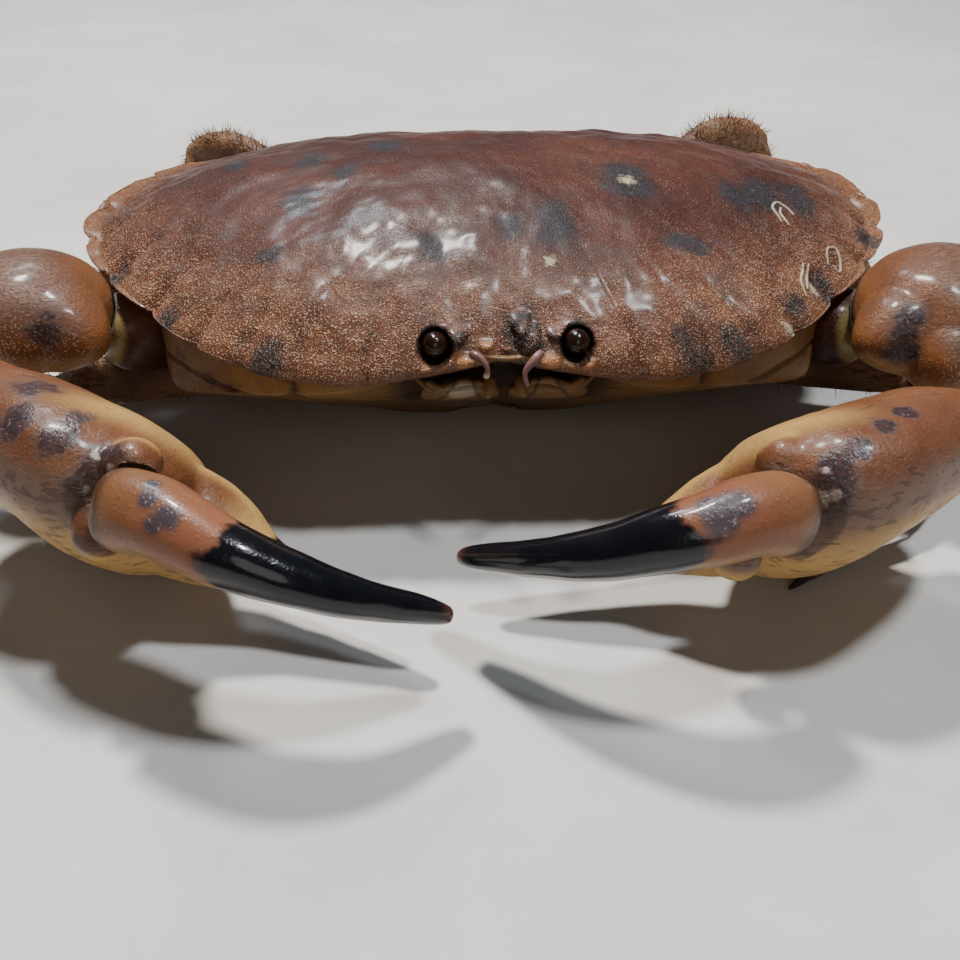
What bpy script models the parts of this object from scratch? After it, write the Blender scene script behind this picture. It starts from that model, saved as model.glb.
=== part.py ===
"""A whole cooked brown crab that rests on its belly, with both claws folded in front of its mouth.

Blender 4.5, metres, +Z up. The mouth faces -Y, and "left" is -X, as seen from in front of the mouth.
The origin is on the flat of the belly, where the crab touches the surface that it lies on.
Every plate of shell is one closed solid, and neighbouring plates keep a small gap.
"""

import math

import bmesh
import bpy
import numpy as np
from mathutils import Vector

MM = 0.001
GAP = 0.6

# Carapace, in millimetres. Angles run round the shell from the mouth (0) to the rear (180).
SHELL_TOP = 60.5
SHELL_RIM = 2.6
SHELL_SINK = 36.0
OUTLINE = ((0, 55), (17, 59.5), (27, 64), (40, 69.5), (54, 74.4), (67, 78), (78, 84), (90, 90),
           (102, 93.5), (117, 93), (132, 86), (148, 74), (165, 65), (180, 62))
RIM_HEIGHT = ((0, 41), (15, 38.5), (27, 37), (60, 39.5), (90, 43.5), (130, 43), (180, 40))
NOTCHES = (24, 36, 45, 54, 66, 78, 90, 102, 117)
NOTCH_DEPTH = 1.7
NOTCH_GROOVE = 1.2
BRIM = 0.07
RIGHT_SWELL = 2.2
SHELL_AROUND = 84
SHELL_ALONG = 12
SPACING = ((0, 0), (18, 24), (144, 117), (180, 180))
MOUNDS = (
    # x, y, half width, half length, height of each swelling of the shell
    (0, -14, 26, 20, 1.6), (-46, 2, 28, 26, 1.4), (46, 2, 28, 26, 1.4), (0, 30, 16, 14, 0.9),
)

# Face: eye sockets, the knobs of the brow, and what hangs between them.
FACE_MIDDLE = 0.9
EYE = (13.4, -54.5, 42.4)
SOCKET_RADIUS = 3.7
EYE_RADIUS = 2.7
KNOBS = (
    # x, y, z, radius, for each knob of the brow
    (-2.9, -55.4, 43.0, 2.1), (0.8, -55.8, 42.6, 1.9), (5.1, -55.0, 43.2, 2.8),
    (-8.6, -55.4, 44.2, 2.9), (10.2, -55.4, 44.6, 3.0), (-7.2, -57.0, 39.2, 2.3), (8.8, -57.0, 39.2, 2.3),
    (-12.4, -57.6, 38.2, 2.2), (14.0, -57.6, 38.4, 2.2),
)

# Underbody: its outline below the shell, the flat that it lies on, and where the flank turns in under it.
BODY_OUTLINE = ((0, 45.5), (14, 46.5), (21, 50.5), (29, 58), (40, 64.5), (52, 69), (62, 71), (69, 68.5),
                (76, 60), (84, 53), (100, 52), (130, 54), (155, 56), (180, 56))
BELLY = ((0, 3), (45, 6), (70, 18), (90, 31), (135, 42), (180, 38))
FLANK_TURN = ((0, 0.9), (22, 0.92), (37, 0.89), (45, 0.83), (52, 0.75), (58, 0.67), (66, 0.58), (74, 0.7),
              (86, 0.9), (180, 0.8))
BODY_AROUND = 52
BODY_ALONG = 12

# Claws. Each side has its own pose: the centre line of each plate, and the way that the back of the claw faces.
# The lobes are the round ends of the palm that the finger hinges between: x, y, z and radius.
CLAWS = {
    "left": {
        "back": (0.05, -0.80, 0.60),
        "arm": ((-62, -10.5, 26), (-73, -16, 28.5), (-83, -23, 31)),
        "wrist": (-97.5, -24, 37),
        "wrist_size": (18, 17, 12.5),
        "hinge": (-97, -38, 34),
        "hinge_size": 8,
        "palm": ((-100, -45, 32), (-94, -57, 30), (-86, -63.4, 29), (-77.5, -69.6, 27.4), (-67.6, -77, 25.4),
                 (-57, -85.2, 22)),
        "thumb": ((-66, -78, 24), (-57, -79, 20.5), (-44.4, -83.5, 14.5), (-29, -90, 12), (-15, -96, 11.5)),
        "finger": ((-64.5, -96, 36.4), (-57, -99.9, 37.1), (-46, -106.2, 34.7), (-31, -109, 29.2),
                   (-11, -103.9, 18.7)),
        "lobes": ((-61.8, -89, 39.6, 5), (-67.4, -95.5, 31, 4.8)),
        "point": (-79, -38, 36),
    },
    "right": {
        "back": (-0.05, -0.80, 0.60),
        "arm": ((64.8, -11.5, 26.5), (72, -19.5, 28.5), (79, -29, 31)),
        "wrist": (93, -33, 37),
        "wrist_size": (18, 18, 14),
        "hinge": (88, -55, 32),
        "hinge_size": 7.5,
        "palm": ((84.5, -63, 29), (79, -70, 29.6), (72, -74, 29.2), (62.5, -78, 27.4), (51.3, -83, 25.8),
                 (38, -89.4, 22.4)),
        "thumb": ((50, -80, 24), (40, -82.4, 21), (26, -81, 15), (11, -81, 12.5), (-4, -80.5, 12)),
        "finger": ((44, -101.4, 34.4), (40, -102.9, 36.8), (28, -106, 36), (13, -102.6, 29.6),
                   (-9, -88, 18.3)),
        "lobes": ((45, -90.5, 38, 5.2), (36.8, -97, 24.4, 4.6), (46, -98, 28.4, 4.6)),
        "point": (72, -46, 36),
    },
}
ARM = {"wide": (7.5, 8.5, 8), "tall": (7, 8.5, 8)}
PALM = {"wide": (7, 10.5, 12.2, 13.2, 14.4, 13.4), "tall": (8, 15, 21, 24, 23.5, 18)}
THUMB = {"wide": (12, 9.8, 4.8, 3.3, 2), "tall": (10, 9, 6.5, 4.4, 2)}
FINGER = {"wide": (7.4, 6.1, 4.7, 3.3, 2.2), "tall": (7.0, 7.4, 6.4, 4.5, 2.4)}
FINGER_ROOM = 1.3
POINT_SIZE = 5.5
WRIST_FACETS = (15, 10)

# Walking legs: one length for each of the four segments, and half their sizes at the two ends and the middle.
LEG_LENGTHS = (42, 19, 31, 35)
LEG_WIDE = ((4.4, 5.0, 4.4), (4.3, 5.2, 4.4), (4.1, 4.3, 3.3), (3.0, 2.4, 0.8))
LEG_TALL = ((5.8, 6.9, 5.8), (5.3, 6.3, 5.3), (4.9, 5.2, 3.9), (3.4, 2.6, 0.8))
TIP_HEIGHT = 1.0
JOINT_SHARE = 0.83
JOINT_LAP = 0.9
LEGS = {
    # Where each leg leaves the body, and the heading and pitch in degrees of its segments.
    # Heading 0 points straight out to the side and -90 towards the mouth. The last pitch comes from the floor.
    "left": (
        ((56, -6, 13.5), (-12, -70, -118, -168), (0, -11, -7), 0.95),
        ((54, 6, 13), (8, 20, -174, -176), (29, -60, -20), 0.9),
        ((54, 24, 15), (16, 30, 172, 162), (29, -60, -20), 0.9),
        ((39, 48, 19), (44, 28, -50, -145), (32, -10, -70), 0.93),
    ),
    "right": (
        ((56, -6, 14), (-15, -75, -125, -149), (0, -9, -6), 1.0),
        ((54, 6, 13), (8, 20, -174, -176), (29, -60, -20), 0.92),
        ((54, 24, 15), (16, 30, 172, 162), (29, -60, -20), 0.9),
        ((39, 48, 19), (42, 25, -50, -145), (34, -12, -70), 0.98),
    ),
}

# Mouth plates and feelers.
MOUTH_PLATE = ((9.2, -53.4, 33.0), (8.6, -47.8, 28.6), (8.0, -32, 17.6))
MOUTH_PLATE_WIDE = (8.2, 7.4, 6.0)
MOUTH_PLATE_THICK = (1.5, 1.6, 1.5)
FEELERS = {
    "left": ((-5.9, -58.6, 42.2), (-4.1, -59.8, 41.0), (-2.8, -60.6, 39.2), (-3.2, -60.4, 37.0)),
    "right": ((7.1, -59.0, 42.0), (5.4, -60.0, 40.4), (3.8, -60.6, 37.8), (4.5, -60.2, 35.0)),
}
FEELER_RADIUS = 0.55

COLOURS = {
    "carapace_shell": (0.16, 0.055, 0.035, 0.38),
    "body_cream": (0.45, 0.28, 0.11, 0.5),
    "claw_shell": (0.36, 0.16, 0.075, 0.38),
    "arm_shell": (0.12, 0.035, 0.025, 0.4),
    "finger_shell": (0.10, 0.05, 0.035, 0.28),
    "leg_shell": (0.14, 0.06, 0.03, 0.5),
    "eye_black": (0.008, 0.006, 0.006, 0.12),
    "feeler_pink": (0.36, 0.17, 0.15, 0.45),
}


def clear_scene():
    for obj in list(bpy.data.objects):
        bpy.data.objects.remove(obj, do_unlink=True)


def new_collection(name):
    collection = bpy.data.collections.new(name)
    bpy.context.scene.collection.children.link(collection)
    return collection


def shell_material(name):
    red, green, blue, roughness = COLOURS[name]
    material = bpy.data.materials.new(name)
    material.use_nodes = True
    surface = material.node_tree.nodes["Principled BSDF"]
    surface.inputs["Base Color"].default_value = (red, green, blue, 1.0)
    surface.inputs["Roughness"].default_value = roughness
    surface.inputs["Metallic"].default_value = 0.0
    material.diffuse_color = (red, green, blue, 1.0)
    return material


def through(knots, x):
    """A smooth curve through (x, value) pairs, read at every x."""
    at = np.array([knot[0] for knot in knots], float)
    value = np.array([knot[1] for knot in knots], float)
    slope = np.gradient(value, at)
    x = np.clip(x, at[0], at[-1])
    i = np.clip(np.searchsorted(at, x) - 1, 0, len(at) - 2)
    width = at[i + 1] - at[i]
    f = (x - at[i]) / width
    return (
        (2 * f**3 - 3 * f**2 + 1) * value[i]
        + (f**3 - 2 * f**2 + f) * width * slope[i]
        + (3 * f**2 - 2 * f**3) * value[i + 1]
        + (f**3 - f**2) * width * slope[i + 1]
    )


def centre_line(points, s):
    """Points of a smooth line through the given points, for s from 0 to 1, and its direction there."""
    points = np.array(points, float)
    steps = np.linalg.norm(np.diff(points, axis=0), axis=1)
    at = np.concatenate([[0.0], np.cumsum(steps)]) / steps.sum()

    def place(share):
        return np.stack([through(list(zip(at, points[:, k])), share) for k in range(3)], axis=-1)

    nudge = 1e-3
    ahead = place(np.clip(s + nudge, 0, 1))
    behind = place(np.clip(s - nudge, 0, 1))
    direction = (ahead - behind) / np.linalg.norm(ahead - behind, axis=-1, keepdims=True)
    return place(s), direction


def unit(vectors):
    return vectors / np.linalg.norm(vectors, axis=-1, keepdims=True)


def squared(value, power):
    """A sine or cosine pulled towards a rounded square."""
    return np.sign(value) * np.abs(value) ** power


def ball_mesh(name, around, along, place):
    """A round primitive whose every point is moved by place(angle round it, share from one pole to the other)."""
    mesh = bpy.data.meshes.new(name)
    shape = bmesh.new()
    bmesh.ops.create_uvsphere(shape, u_segments=around, v_segments=along, radius=1.0)
    shape.to_mesh(mesh)
    shape.free()
    points = np.empty(len(mesh.vertices) * 3)
    mesh.vertices.foreach_get("co", points)
    points = points.reshape(-1, 3)
    angle = np.arctan2(points[:, 1], points[:, 0])
    share = np.clip(np.arcsin(np.clip(points[:, 2], -1, 1)) / math.pi + 0.5, 0, 1)
    mesh.vertices.foreach_set("co", (place(angle, share) * MM).ravel())
    mesh.update()
    mesh.shade_smooth()
    return mesh


def limb(line, wide, tall, up, blunt=4.0, square=0.9):
    """How a plate that follows a centre line places its points. wide and tall are half sizes along the line."""
    up = np.array(up, float)
    stations = np.linspace(0, 1, len(wide))

    def place(angle, share):
        share = 0.5 + 0.5 * np.sin((share - 0.5) * math.pi)
        middle, ahead = centre_line(line, share)
        side = unit(np.cross(np.broadcast_to(up, ahead.shape), ahead))
        back = np.cross(ahead, side)
        cap = np.clip(1 - np.abs(2 * share - 1) ** blunt, 0, 1) ** (1 / blunt)
        half_wide = through(list(zip(stations, wide)), share) * cap
        half_tall = through(list(zip(stations, tall)), share) * cap
        across = squared(np.cos(angle), square) * half_wide
        over = squared(np.sin(angle), square) * half_tall
        return middle + side * across[:, None] + back * over[:, None]

    return place


def add(collection, mesh, material):
    obj = bpy.data.objects.new(mesh.name, mesh)
    mesh.materials.append(material)
    collection.objects.link(obj)
    return obj


def helper(collection, mesh):
    """A shape that only cuts or joins another."""
    obj = bpy.data.objects.new(mesh.name, mesh)
    obj.hide_render = True
    obj.display_type = "WIRE"
    collection.objects.link(obj)
    return obj


def combine(obj, other, operation):
    modifier = obj.modifiers.new(f"{operation.lower()}_{other.name}", "BOOLEAN")
    modifier.operation = operation
    modifier.solver = "EXACT"
    modifier.object = other


def round_shape(name, centre, radii, around=12, along=8):
    centre = np.array(centre, float)
    radii = np.array(radii, float)

    def place(angle, share):
        level = (share - 0.5) * math.pi
        ball = np.stack([np.cos(angle) * np.cos(level), np.sin(angle) * np.cos(level), np.sin(level)], axis=-1)
        return centre + ball * radii

    return ball_mesh(name, around, along, place)


def degrees_from_mouth(angle):
    """Angle round the body, 0 at the mouth and 180 at the rear, the same on both sides."""
    return np.degrees(np.abs(np.arctan2(np.cos(angle), -np.sin(angle))))


def lobe_share(degrees):
    """How far a place on the rim is through its lobe: -1 and 1 at the notches, 0 at its middle or past them."""
    at = np.zeros_like(degrees)
    for start, end in zip(NOTCHES[:-1], NOTCHES[1:]):
        inside = (degrees >= start) & (degrees <= end)
        at = np.where(inside, 2 * (degrees - start) / (end - start) - 1, at)
    return at


def rim_of(angle):
    """Radius and height of the shell's edge at each angle, and how deep it is in a notch of its pie-crust edge."""
    degrees = degrees_from_mouth(angle)
    swell = RIGHT_SWELL * np.where(np.cos(angle) > 0, np.exp(-(((degrees - 114) / 18) ** 2)), 0)
    radius = through(OUTLINE, degrees) + swell
    return radius, through(RIM_HEIGHT, degrees), np.abs(lobe_share(degrees)) ** 3, degrees


def packed_round(angle):
    """The same turn with more of its points along the lobed edge."""
    degrees = degrees_from_mouth(angle)
    turn = np.radians(np.interp(degrees, *zip(*SPACING)))
    return np.arctan2(-np.cos(turn), np.sign(np.cos(angle) + 1e-9) * np.sin(turn))


def swellings(x, y):
    return sum(
        height * np.exp(-(((x - cx) / wide) ** 2) - ((y - cy) / deep) ** 2)
        for cx, cy, wide, deep, height in MOUNDS
    )


def carapace_place(angle, share):
    """The upper half of the ball becomes the domed back, and the lower half its turned-under edge."""
    angle = packed_round(angle)
    radius, rim, notch, degrees = rim_of(angle)
    over = np.clip(2 * share - 1, 0, 1)
    under = np.clip(1 - 2 * share, 0, 1)
    reach = np.where(share >= 0.5, np.cos(over * math.pi / 2), np.cos(under * math.pi / 2))
    front = 0.5 + 0.5 * np.cos(np.radians(degrees))
    fullness = 2.0 + 0.5 * front
    brim = BRIM * np.exp(-(((degrees - 115) / 32) ** 2))
    rise = (1 - np.clip(reach / (1 - brim), 0, 1) ** fullness) ** (0.9 - 0.17 * front)
    edge = np.clip((reach - 0.8) / 0.2, 0, 1)
    spread = radius * reach - NOTCH_DEPTH * notch * edge**2
    x = np.cos(angle) * spread
    y = np.sin(angle) * spread
    dome = rim + (SHELL_TOP - rim) * rise + swellings(x, y) * rise - NOTCH_GROOVE * notch * edge**2
    turned = np.clip((1 - reach) / 0.04, 0, 1) ** 0.5
    floor = rim - SHELL_RIM * turned
    hollow = np.clip((0.94 - reach) / 0.94, 0, 1) ** 0.7
    floor = floor + (SHELL_SINK - floor) * hollow
    return np.stack([x, y, np.where(share >= 0.5, dome, floor)], axis=-1)


def body_place(angle, share):
    """Flanks and belly: the outline drawn in below the shell, narrowing to the flat that the crab lies on."""
    radius, rim, _, degrees = rim_of(angle)
    outline = through(BODY_OUTLINE, degrees)
    belly = through(BELLY, degrees)
    turn = through(FLANK_TURN, degrees)
    flat = np.clip(share / 0.15, 0, 1)
    height = np.clip((share - 0.15) / 0.6, 0, 1)
    lid = np.clip((share - 0.75) / 0.25, 0, 1)
    flank = belly + (outline - belly) * np.clip(height / turn, 0, 1)
    spread = np.where(share < 0.15, belly * flat, np.where(lid > 0, outline * (1 - lid), flank))

    def ceiling(distance):
        top = rim - SHELL_RIM - GAP
        hollow = np.clip((0.94 - distance / radius) / 0.94, 0, 1) ** 0.7
        return top + (SHELL_SINK - GAP - top) * hollow

    z = np.where(lid > 0, ceiling(spread), height * ceiling(outline))
    return np.stack([np.cos(angle) * spread, np.sin(angle) * spread, z], axis=-1)


def make_carapace(parts, helpers, material):
    carapace = add(parts, ball_mesh("carapace", SHELL_AROUND, SHELL_ALONG, carapace_place), material)
    for number, (x, y, z, radius) in enumerate(KNOBS):
        knob = round_shape(f"brow_knob_{number}", (x, y, z), (radius, radius * 1.2, radius), 8, 6)
        combine(carapace, helper(helpers, knob), "UNION")
    for side, sign in (("left", -1), ("right", 1)):
        x, y, z = EYE
        reach = (SOCKET_RADIUS, SOCKET_RADIUS * 1.6, SOCKET_RADIUS)
        heart = (FACE_MIDDLE + sign * x, y - 1.5, z)
        socket = round_shape(f"eye_socket_{side}", heart, reach, 14, 10)
        combine(carapace, helper(helpers, socket), "DIFFERENCE")


def make_face(parts, materials):
    for side, sign in (("left", -1), ("right", 1)):
        x, y, z = EYE
        radii = (EYE_RADIUS, EYE_RADIUS * 1.1, EYE_RADIUS)
        eye = round_shape(f"eye_{side}", (FACE_MIDDLE + sign * x, y - 0.2, z), radii, 12, 8)
        add(parts, eye, materials["eye_black"])
        line = np.array(MOUTH_PLATE) * (sign, 1, 1) + (FACE_MIDDLE, 0, 0)
        plate = limb(line, MOUTH_PLATE_WIDE, MOUTH_PLATE_THICK, (0, -1, -0.6), 5.0, 0.7)
        add(parts, ball_mesh(f"mouth_plate_{side}", 12, 10, plate), materials["body_cream"])
        make_feeler(parts, side, FEELERS[side], materials["feeler_pink"])


def make_feeler(parts, side, points, material):
    """A short curled feeler: a round tube along a smooth line."""
    curve = bpy.data.curves.new(f"feeler_{side}", "CURVE")
    curve.dimensions = "3D"
    curve.bevel_depth = FEELER_RADIUS * MM
    curve.bevel_resolution = 1
    curve.use_fill_caps = True
    spline = curve.splines.new("POLY")
    line, _ = centre_line(points, np.linspace(0, 1, 9))
    spline.points.add(len(line) - 1)
    for point, place in zip(spline.points, line):
        point.co = (*(place * MM), 1.0)
        point.radius = 1.0
    curve.materials.append(material)
    parts.objects.link(bpy.data.objects.new(f"feeler_{side}", curve))


def wrist_shapes(pose, side, spare):
    """The knuckle of the wrist, its inner tooth and its hinge, or the room that they take when spare is above 0."""
    label = "room" if spare else "wrist"
    heart = np.array(pose["wrist"], float)
    size = np.array(pose["wrist_size"], float) + spare
    knuckle = "claw_wrist" if not spare else "wrist_room"
    shapes = [round_shape(f"{knuckle}_{side}", heart, size, *WRIST_FACETS)]
    for name, end, radius in (("tooth", pose["point"], POINT_SIZE), ("hinge", pose["hinge"], pose["hinge_size"])):
        end = np.array(end, float)
        broad = (13 + spare, 10 + spare, radius + spare)
        deep = (11 + spare, 9.5 + spare, radius + spare)
        line = (heart, (heart + end) / 2, end + unit(end - heart) * spare)
        place = limb(line, broad, deep, (0, 0, 1), 2.4)
        shapes.append(ball_mesh(f"{name}_{label}_{side}", 10, 7, place))
    return shapes


def make_claw(parts, helpers, materials, side):
    """Arm, wrist, palm with its fixed thumb, and the finger that closes on it."""
    pose = CLAWS[side]
    back = pose["back"]
    arm = limb(pose["arm"], ARM["wide"], ARM["tall"], (0, -0.3, 1), 4.0, 0.8)
    arm = add(parts, ball_mesh(f"claw_arm_{side}", 12, 8, arm), materials["arm_shell"])

    wrist, *lobes = wrist_shapes(pose, side, 0.0)
    wrist = add(parts, wrist, materials["claw_shell"])
    for lobe in lobes:
        combine(wrist, helper(helpers, lobe), "UNION")

    palm = limb(pose["palm"], PALM["wide"], PALM["tall"], back, 3.2, 0.9)
    palm = add(parts, ball_mesh(f"claw_palm_{side}", 20, 16, palm), materials["claw_shell"])
    thumb = limb(pose["thumb"], THUMB["wide"], THUMB["tall"], back, 5.0, 0.95)
    combine(palm, helper(helpers, ball_mesh(f"thumb_{side}", 14, 14, thumb)), "UNION")
    for number, (x, y, z, radius) in enumerate(pose["lobes"]):
        lobe = round_shape(f"hinge_lobe_{number}_{side}", (x, y, z), (radius, radius, radius), 8, 6)
        combine(palm, helper(helpers, lobe), "UNION")

    finger = limb(pose["finger"], FINGER["wide"], FINGER["tall"], back, 4.0, 0.95)
    add(parts, ball_mesh(f"claw_finger_{side}", 14, 14, finger), materials["finger_shell"])
    base, knuckle, *rest = np.array(pose["finger"], float)
    roomy = limb(
        (base + unit(base - knuckle) * FINGER_ROOM, knuckle, *rest),
        [size + FINGER_ROOM for size in FINGER["wide"]],
        [size + FINGER_ROOM for size in FINGER["tall"]],
        back, 5.0, 0.95,
    )
    combine(palm, helper(helpers, ball_mesh(f"finger_seat_{side}", 14, 14, roomy)), "DIFFERENCE")
    for room in wrist_shapes(pose, side, GAP):
        room = helper(helpers, room)
        combine(palm, room, "DIFFERENCE")
        combine(arm, room, "DIFFERENCE")


def heading_step(length, heading, pitch, sign):
    """One leg segment as a vector, from its heading and pitch in degrees."""
    level = length * math.cos(math.radians(pitch))
    across = sign * level * math.cos(math.radians(heading))
    along = level * math.sin(math.radians(heading))
    return np.array((across, along, length * math.sin(math.radians(pitch))))


def leg_joints(side, leg):
    """The five joints of a leg, from where it leaves the body to its tip on the floor."""
    (x, y, z), headings, pitches, size = LEGS[side][leg]
    sign = -1 if side == "left" else 1
    joints = [np.array((sign * x, y, z), float)]
    for length, heading, pitch in zip(LEG_LENGTHS, headings, pitches):
        joints.append(joints[-1] + heading_step(length * size, heading, pitch, sign))
    length = LEG_LENGTHS[-1] * size
    drop = min((joints[-1][2] - TIP_HEIGHT) / length, 0.98)
    joints.append(joints[-1] + heading_step(length, headings[-1], -math.degrees(math.asin(drop)), sign))
    return joints, size


def make_leg(parts, helpers, side, leg, material):
    """One leg: four tapered plates that meet over soft round joints, as one solid."""
    joints, size = leg_joints(side, leg)
    whole = None
    for number, name in enumerate(("thigh", "knee", "shin", "toe")):
        start, end = joints[number], joints[number + 1]
        along = unit(end - start)
        lift = np.array((0, 0, 1.0 if name == "thigh" else 0.0))
        wide = np.array(LEG_WIDE[number]) * size
        tall = np.array(LEG_TALL[number]) * size
        upright = (0, 0, 1) if abs(along[2]) < 0.8 else (0, 1, 0.2)
        line = (start - along * JOINT_LAP, (start + end) / 2 + lift, end + along * JOINT_LAP)
        place = limb(line, wide, tall, upright, 5.0, 0.95)
        if whole is None:
            whole = add(parts, ball_mesh(f"leg_{leg + 1}_{side}", 7, 6, place), material)
            continue
        plate = ball_mesh(f"{name}_{leg + 1}_{side}", 7, 6, place)
        combine(whole, helper(helpers, plate), "UNION")
        radius = JOINT_SHARE * size * LEG_TALL[number][0]
        joint = round_shape(f"{name}_joint_{leg + 1}_{side}", start, (radius, radius, radius), 6, 4)
        combine(whole, helper(helpers, joint), "UNION")


def main():
    clear_scene()
    parts = new_collection("cooked_crab")
    helpers = new_collection("helpers")
    materials = {name: shell_material(name) for name in COLOURS}
    make_carapace(parts, helpers, materials["carapace_shell"])
    add(parts, ball_mesh("underbody", BODY_AROUND, BODY_ALONG, body_place), materials["body_cream"])
    make_face(parts, materials)
    for side in ("left", "right"):
        make_claw(parts, helpers, materials, side)
        for leg in range(len(LEGS[side])):
            make_leg(parts, helpers, side, leg, materials["leg_shell"])


main()
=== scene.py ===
"""A whole cooked brown crab on a pale floor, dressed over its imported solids.

Lengths in the lists are in millimetres. The mouth faces -Y, and "left" is -X, as seen from in front of the mouth.
"""

import math

import bpy
import numpy as np
from mathutils import Matrix, Vector, noise


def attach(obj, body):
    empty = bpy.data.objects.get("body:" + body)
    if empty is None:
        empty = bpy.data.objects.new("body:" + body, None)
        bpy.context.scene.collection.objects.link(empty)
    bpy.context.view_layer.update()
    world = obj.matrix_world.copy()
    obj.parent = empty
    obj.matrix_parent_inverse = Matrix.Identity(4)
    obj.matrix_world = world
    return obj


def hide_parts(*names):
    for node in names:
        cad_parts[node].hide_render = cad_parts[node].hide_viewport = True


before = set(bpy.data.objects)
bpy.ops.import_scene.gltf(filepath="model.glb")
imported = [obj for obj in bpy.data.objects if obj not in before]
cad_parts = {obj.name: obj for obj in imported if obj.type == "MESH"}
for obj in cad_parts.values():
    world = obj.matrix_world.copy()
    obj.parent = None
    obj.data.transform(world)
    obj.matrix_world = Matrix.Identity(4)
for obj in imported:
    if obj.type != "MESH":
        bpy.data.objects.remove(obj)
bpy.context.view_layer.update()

MM = 0.001
SIGN = {"left": -1, "right": 1}

# Looks that several materials share, and the painted value of a patch that a piece has none of.
SPECULAR = 0.22
# A brown for painted shade in crevices.
CREASE_SHADE_BROWN = (0.045, 0.018, 0.008)
NONE = -1.0

# Carapace. Angles run round the shell from the mouth (0) to the rear (180).
SHELL_TOP = 60.5
SHELL_RIM = 2.6
SHELL_SINK = 36.0
OUTLINE = ((0, 55), (17, 59.5), (27, 64), (40, 69.5), (54, 74.4), (67, 78), (78, 84), (90, 90),
           (102, 93.5), (117, 93), (132, 86), (148, 74), (165, 65), (180, 62))
RIM_HEIGHT = ((0, 41), (15, 38.5), (27, 37), (60, 39.5), (90, 43.5), (130, 43), (180, 40))
NOTCHES = (24, 36, 45, 54, 66, 78, 90, 102, 117)
NOTCH_DEPTH = 1.7
NOTCH_GROOVE = 1.2
BRIM = 0.07
RIGHT_SWELL = 2.2
SPACING = ((0, 0), (30, 22), (150, 136), (180, 180))
MOUNDS = (
    # x, y, half width, half length, height of each swelling of the shell
    (0, -14, 26, 20, 1.6), (-46, 2, 28, 26, 1.4), (46, 2, 28, 26, 1.4), (0, 30, 16, 14, 0.9),
    (-9, 12, 5, 3.2, -0.7), (9, 12, 5, 3.2, -0.7), (-20, -6, 4, 10, -0.5), (20, -6, 4, 10, -0.5),
    (-24, -40, 12, 8, 0.5), (24, -40, 12, 8, 0.5), (0, -46, 6, 6, -0.5),
    (-62, -20, 14, 10, 0.5), (62, -20, 14, 10, 0.5),
)
SHELL_GAP = 0.6

# Face: eye sockets and the knobs of the brow. The knobs are pulled forwards and up by a share of their radius.
FACE_MIDDLE = 0.9
FACE_BACK = -47
EYE = (13.4, -54.5, 42.4)
SOCKET_RADIUS = 3.3
SOCKET_DEPTH = 3.6
EYE_RADIUS = 2.45
KNOB_FORWARD = 0.62
KNOB_UP = 0.12
SLATE_KNOBS = ((5.1, -55.8, 43.8, 2.9), (3.4, -53.8, 46.4, 2.5), (-8.4, -56.2, 44.9, 2.7), (-11.2, -55.0, 46.6, 2.1),
               (10.3, -56.2, 45.4, 2.7), (12.9, -55.0, 46.9, 2.1))
ORANGE_KNOBS = (
    (-2.9, -56.6, 43.2, 2.0), (0.8, -56.8, 42.7, 1.6), (-6.9, -58.5, 39.8, 2.2), (9.0, -58.5, 39.6, 2.2),
    (-11.0, -58.9, 38.9, 1.7), (-14.2, -58.6, 39.1, 1.5), (12.8, -58.9, 39.2, 1.6), (16.1, -58.4, 39.5, 1.6),
)

# Underbody.
BODY_OUTLINE = ((0, 45.5), (14, 46.5), (21, 50.5), (29, 58), (40, 64.5), (52, 69), (62, 72.5), (69, 74.5),
                (75, 72), (80, 62), (85, 53), (100, 52), (130, 54), (155, 56), (180, 56))
BELLY = ((0, 3), (45, 6), (70, 18), (90, 31), (135, 42), (180, 38))
FLANK_TURN = ((0, 0.9), (22, 0.92), (37, 0.89), (45, 0.83), (52, 0.75), (58, 0.67), (66, 0.58), (74, 0.7),
              (86, 0.9), (180, 0.8))

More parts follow.
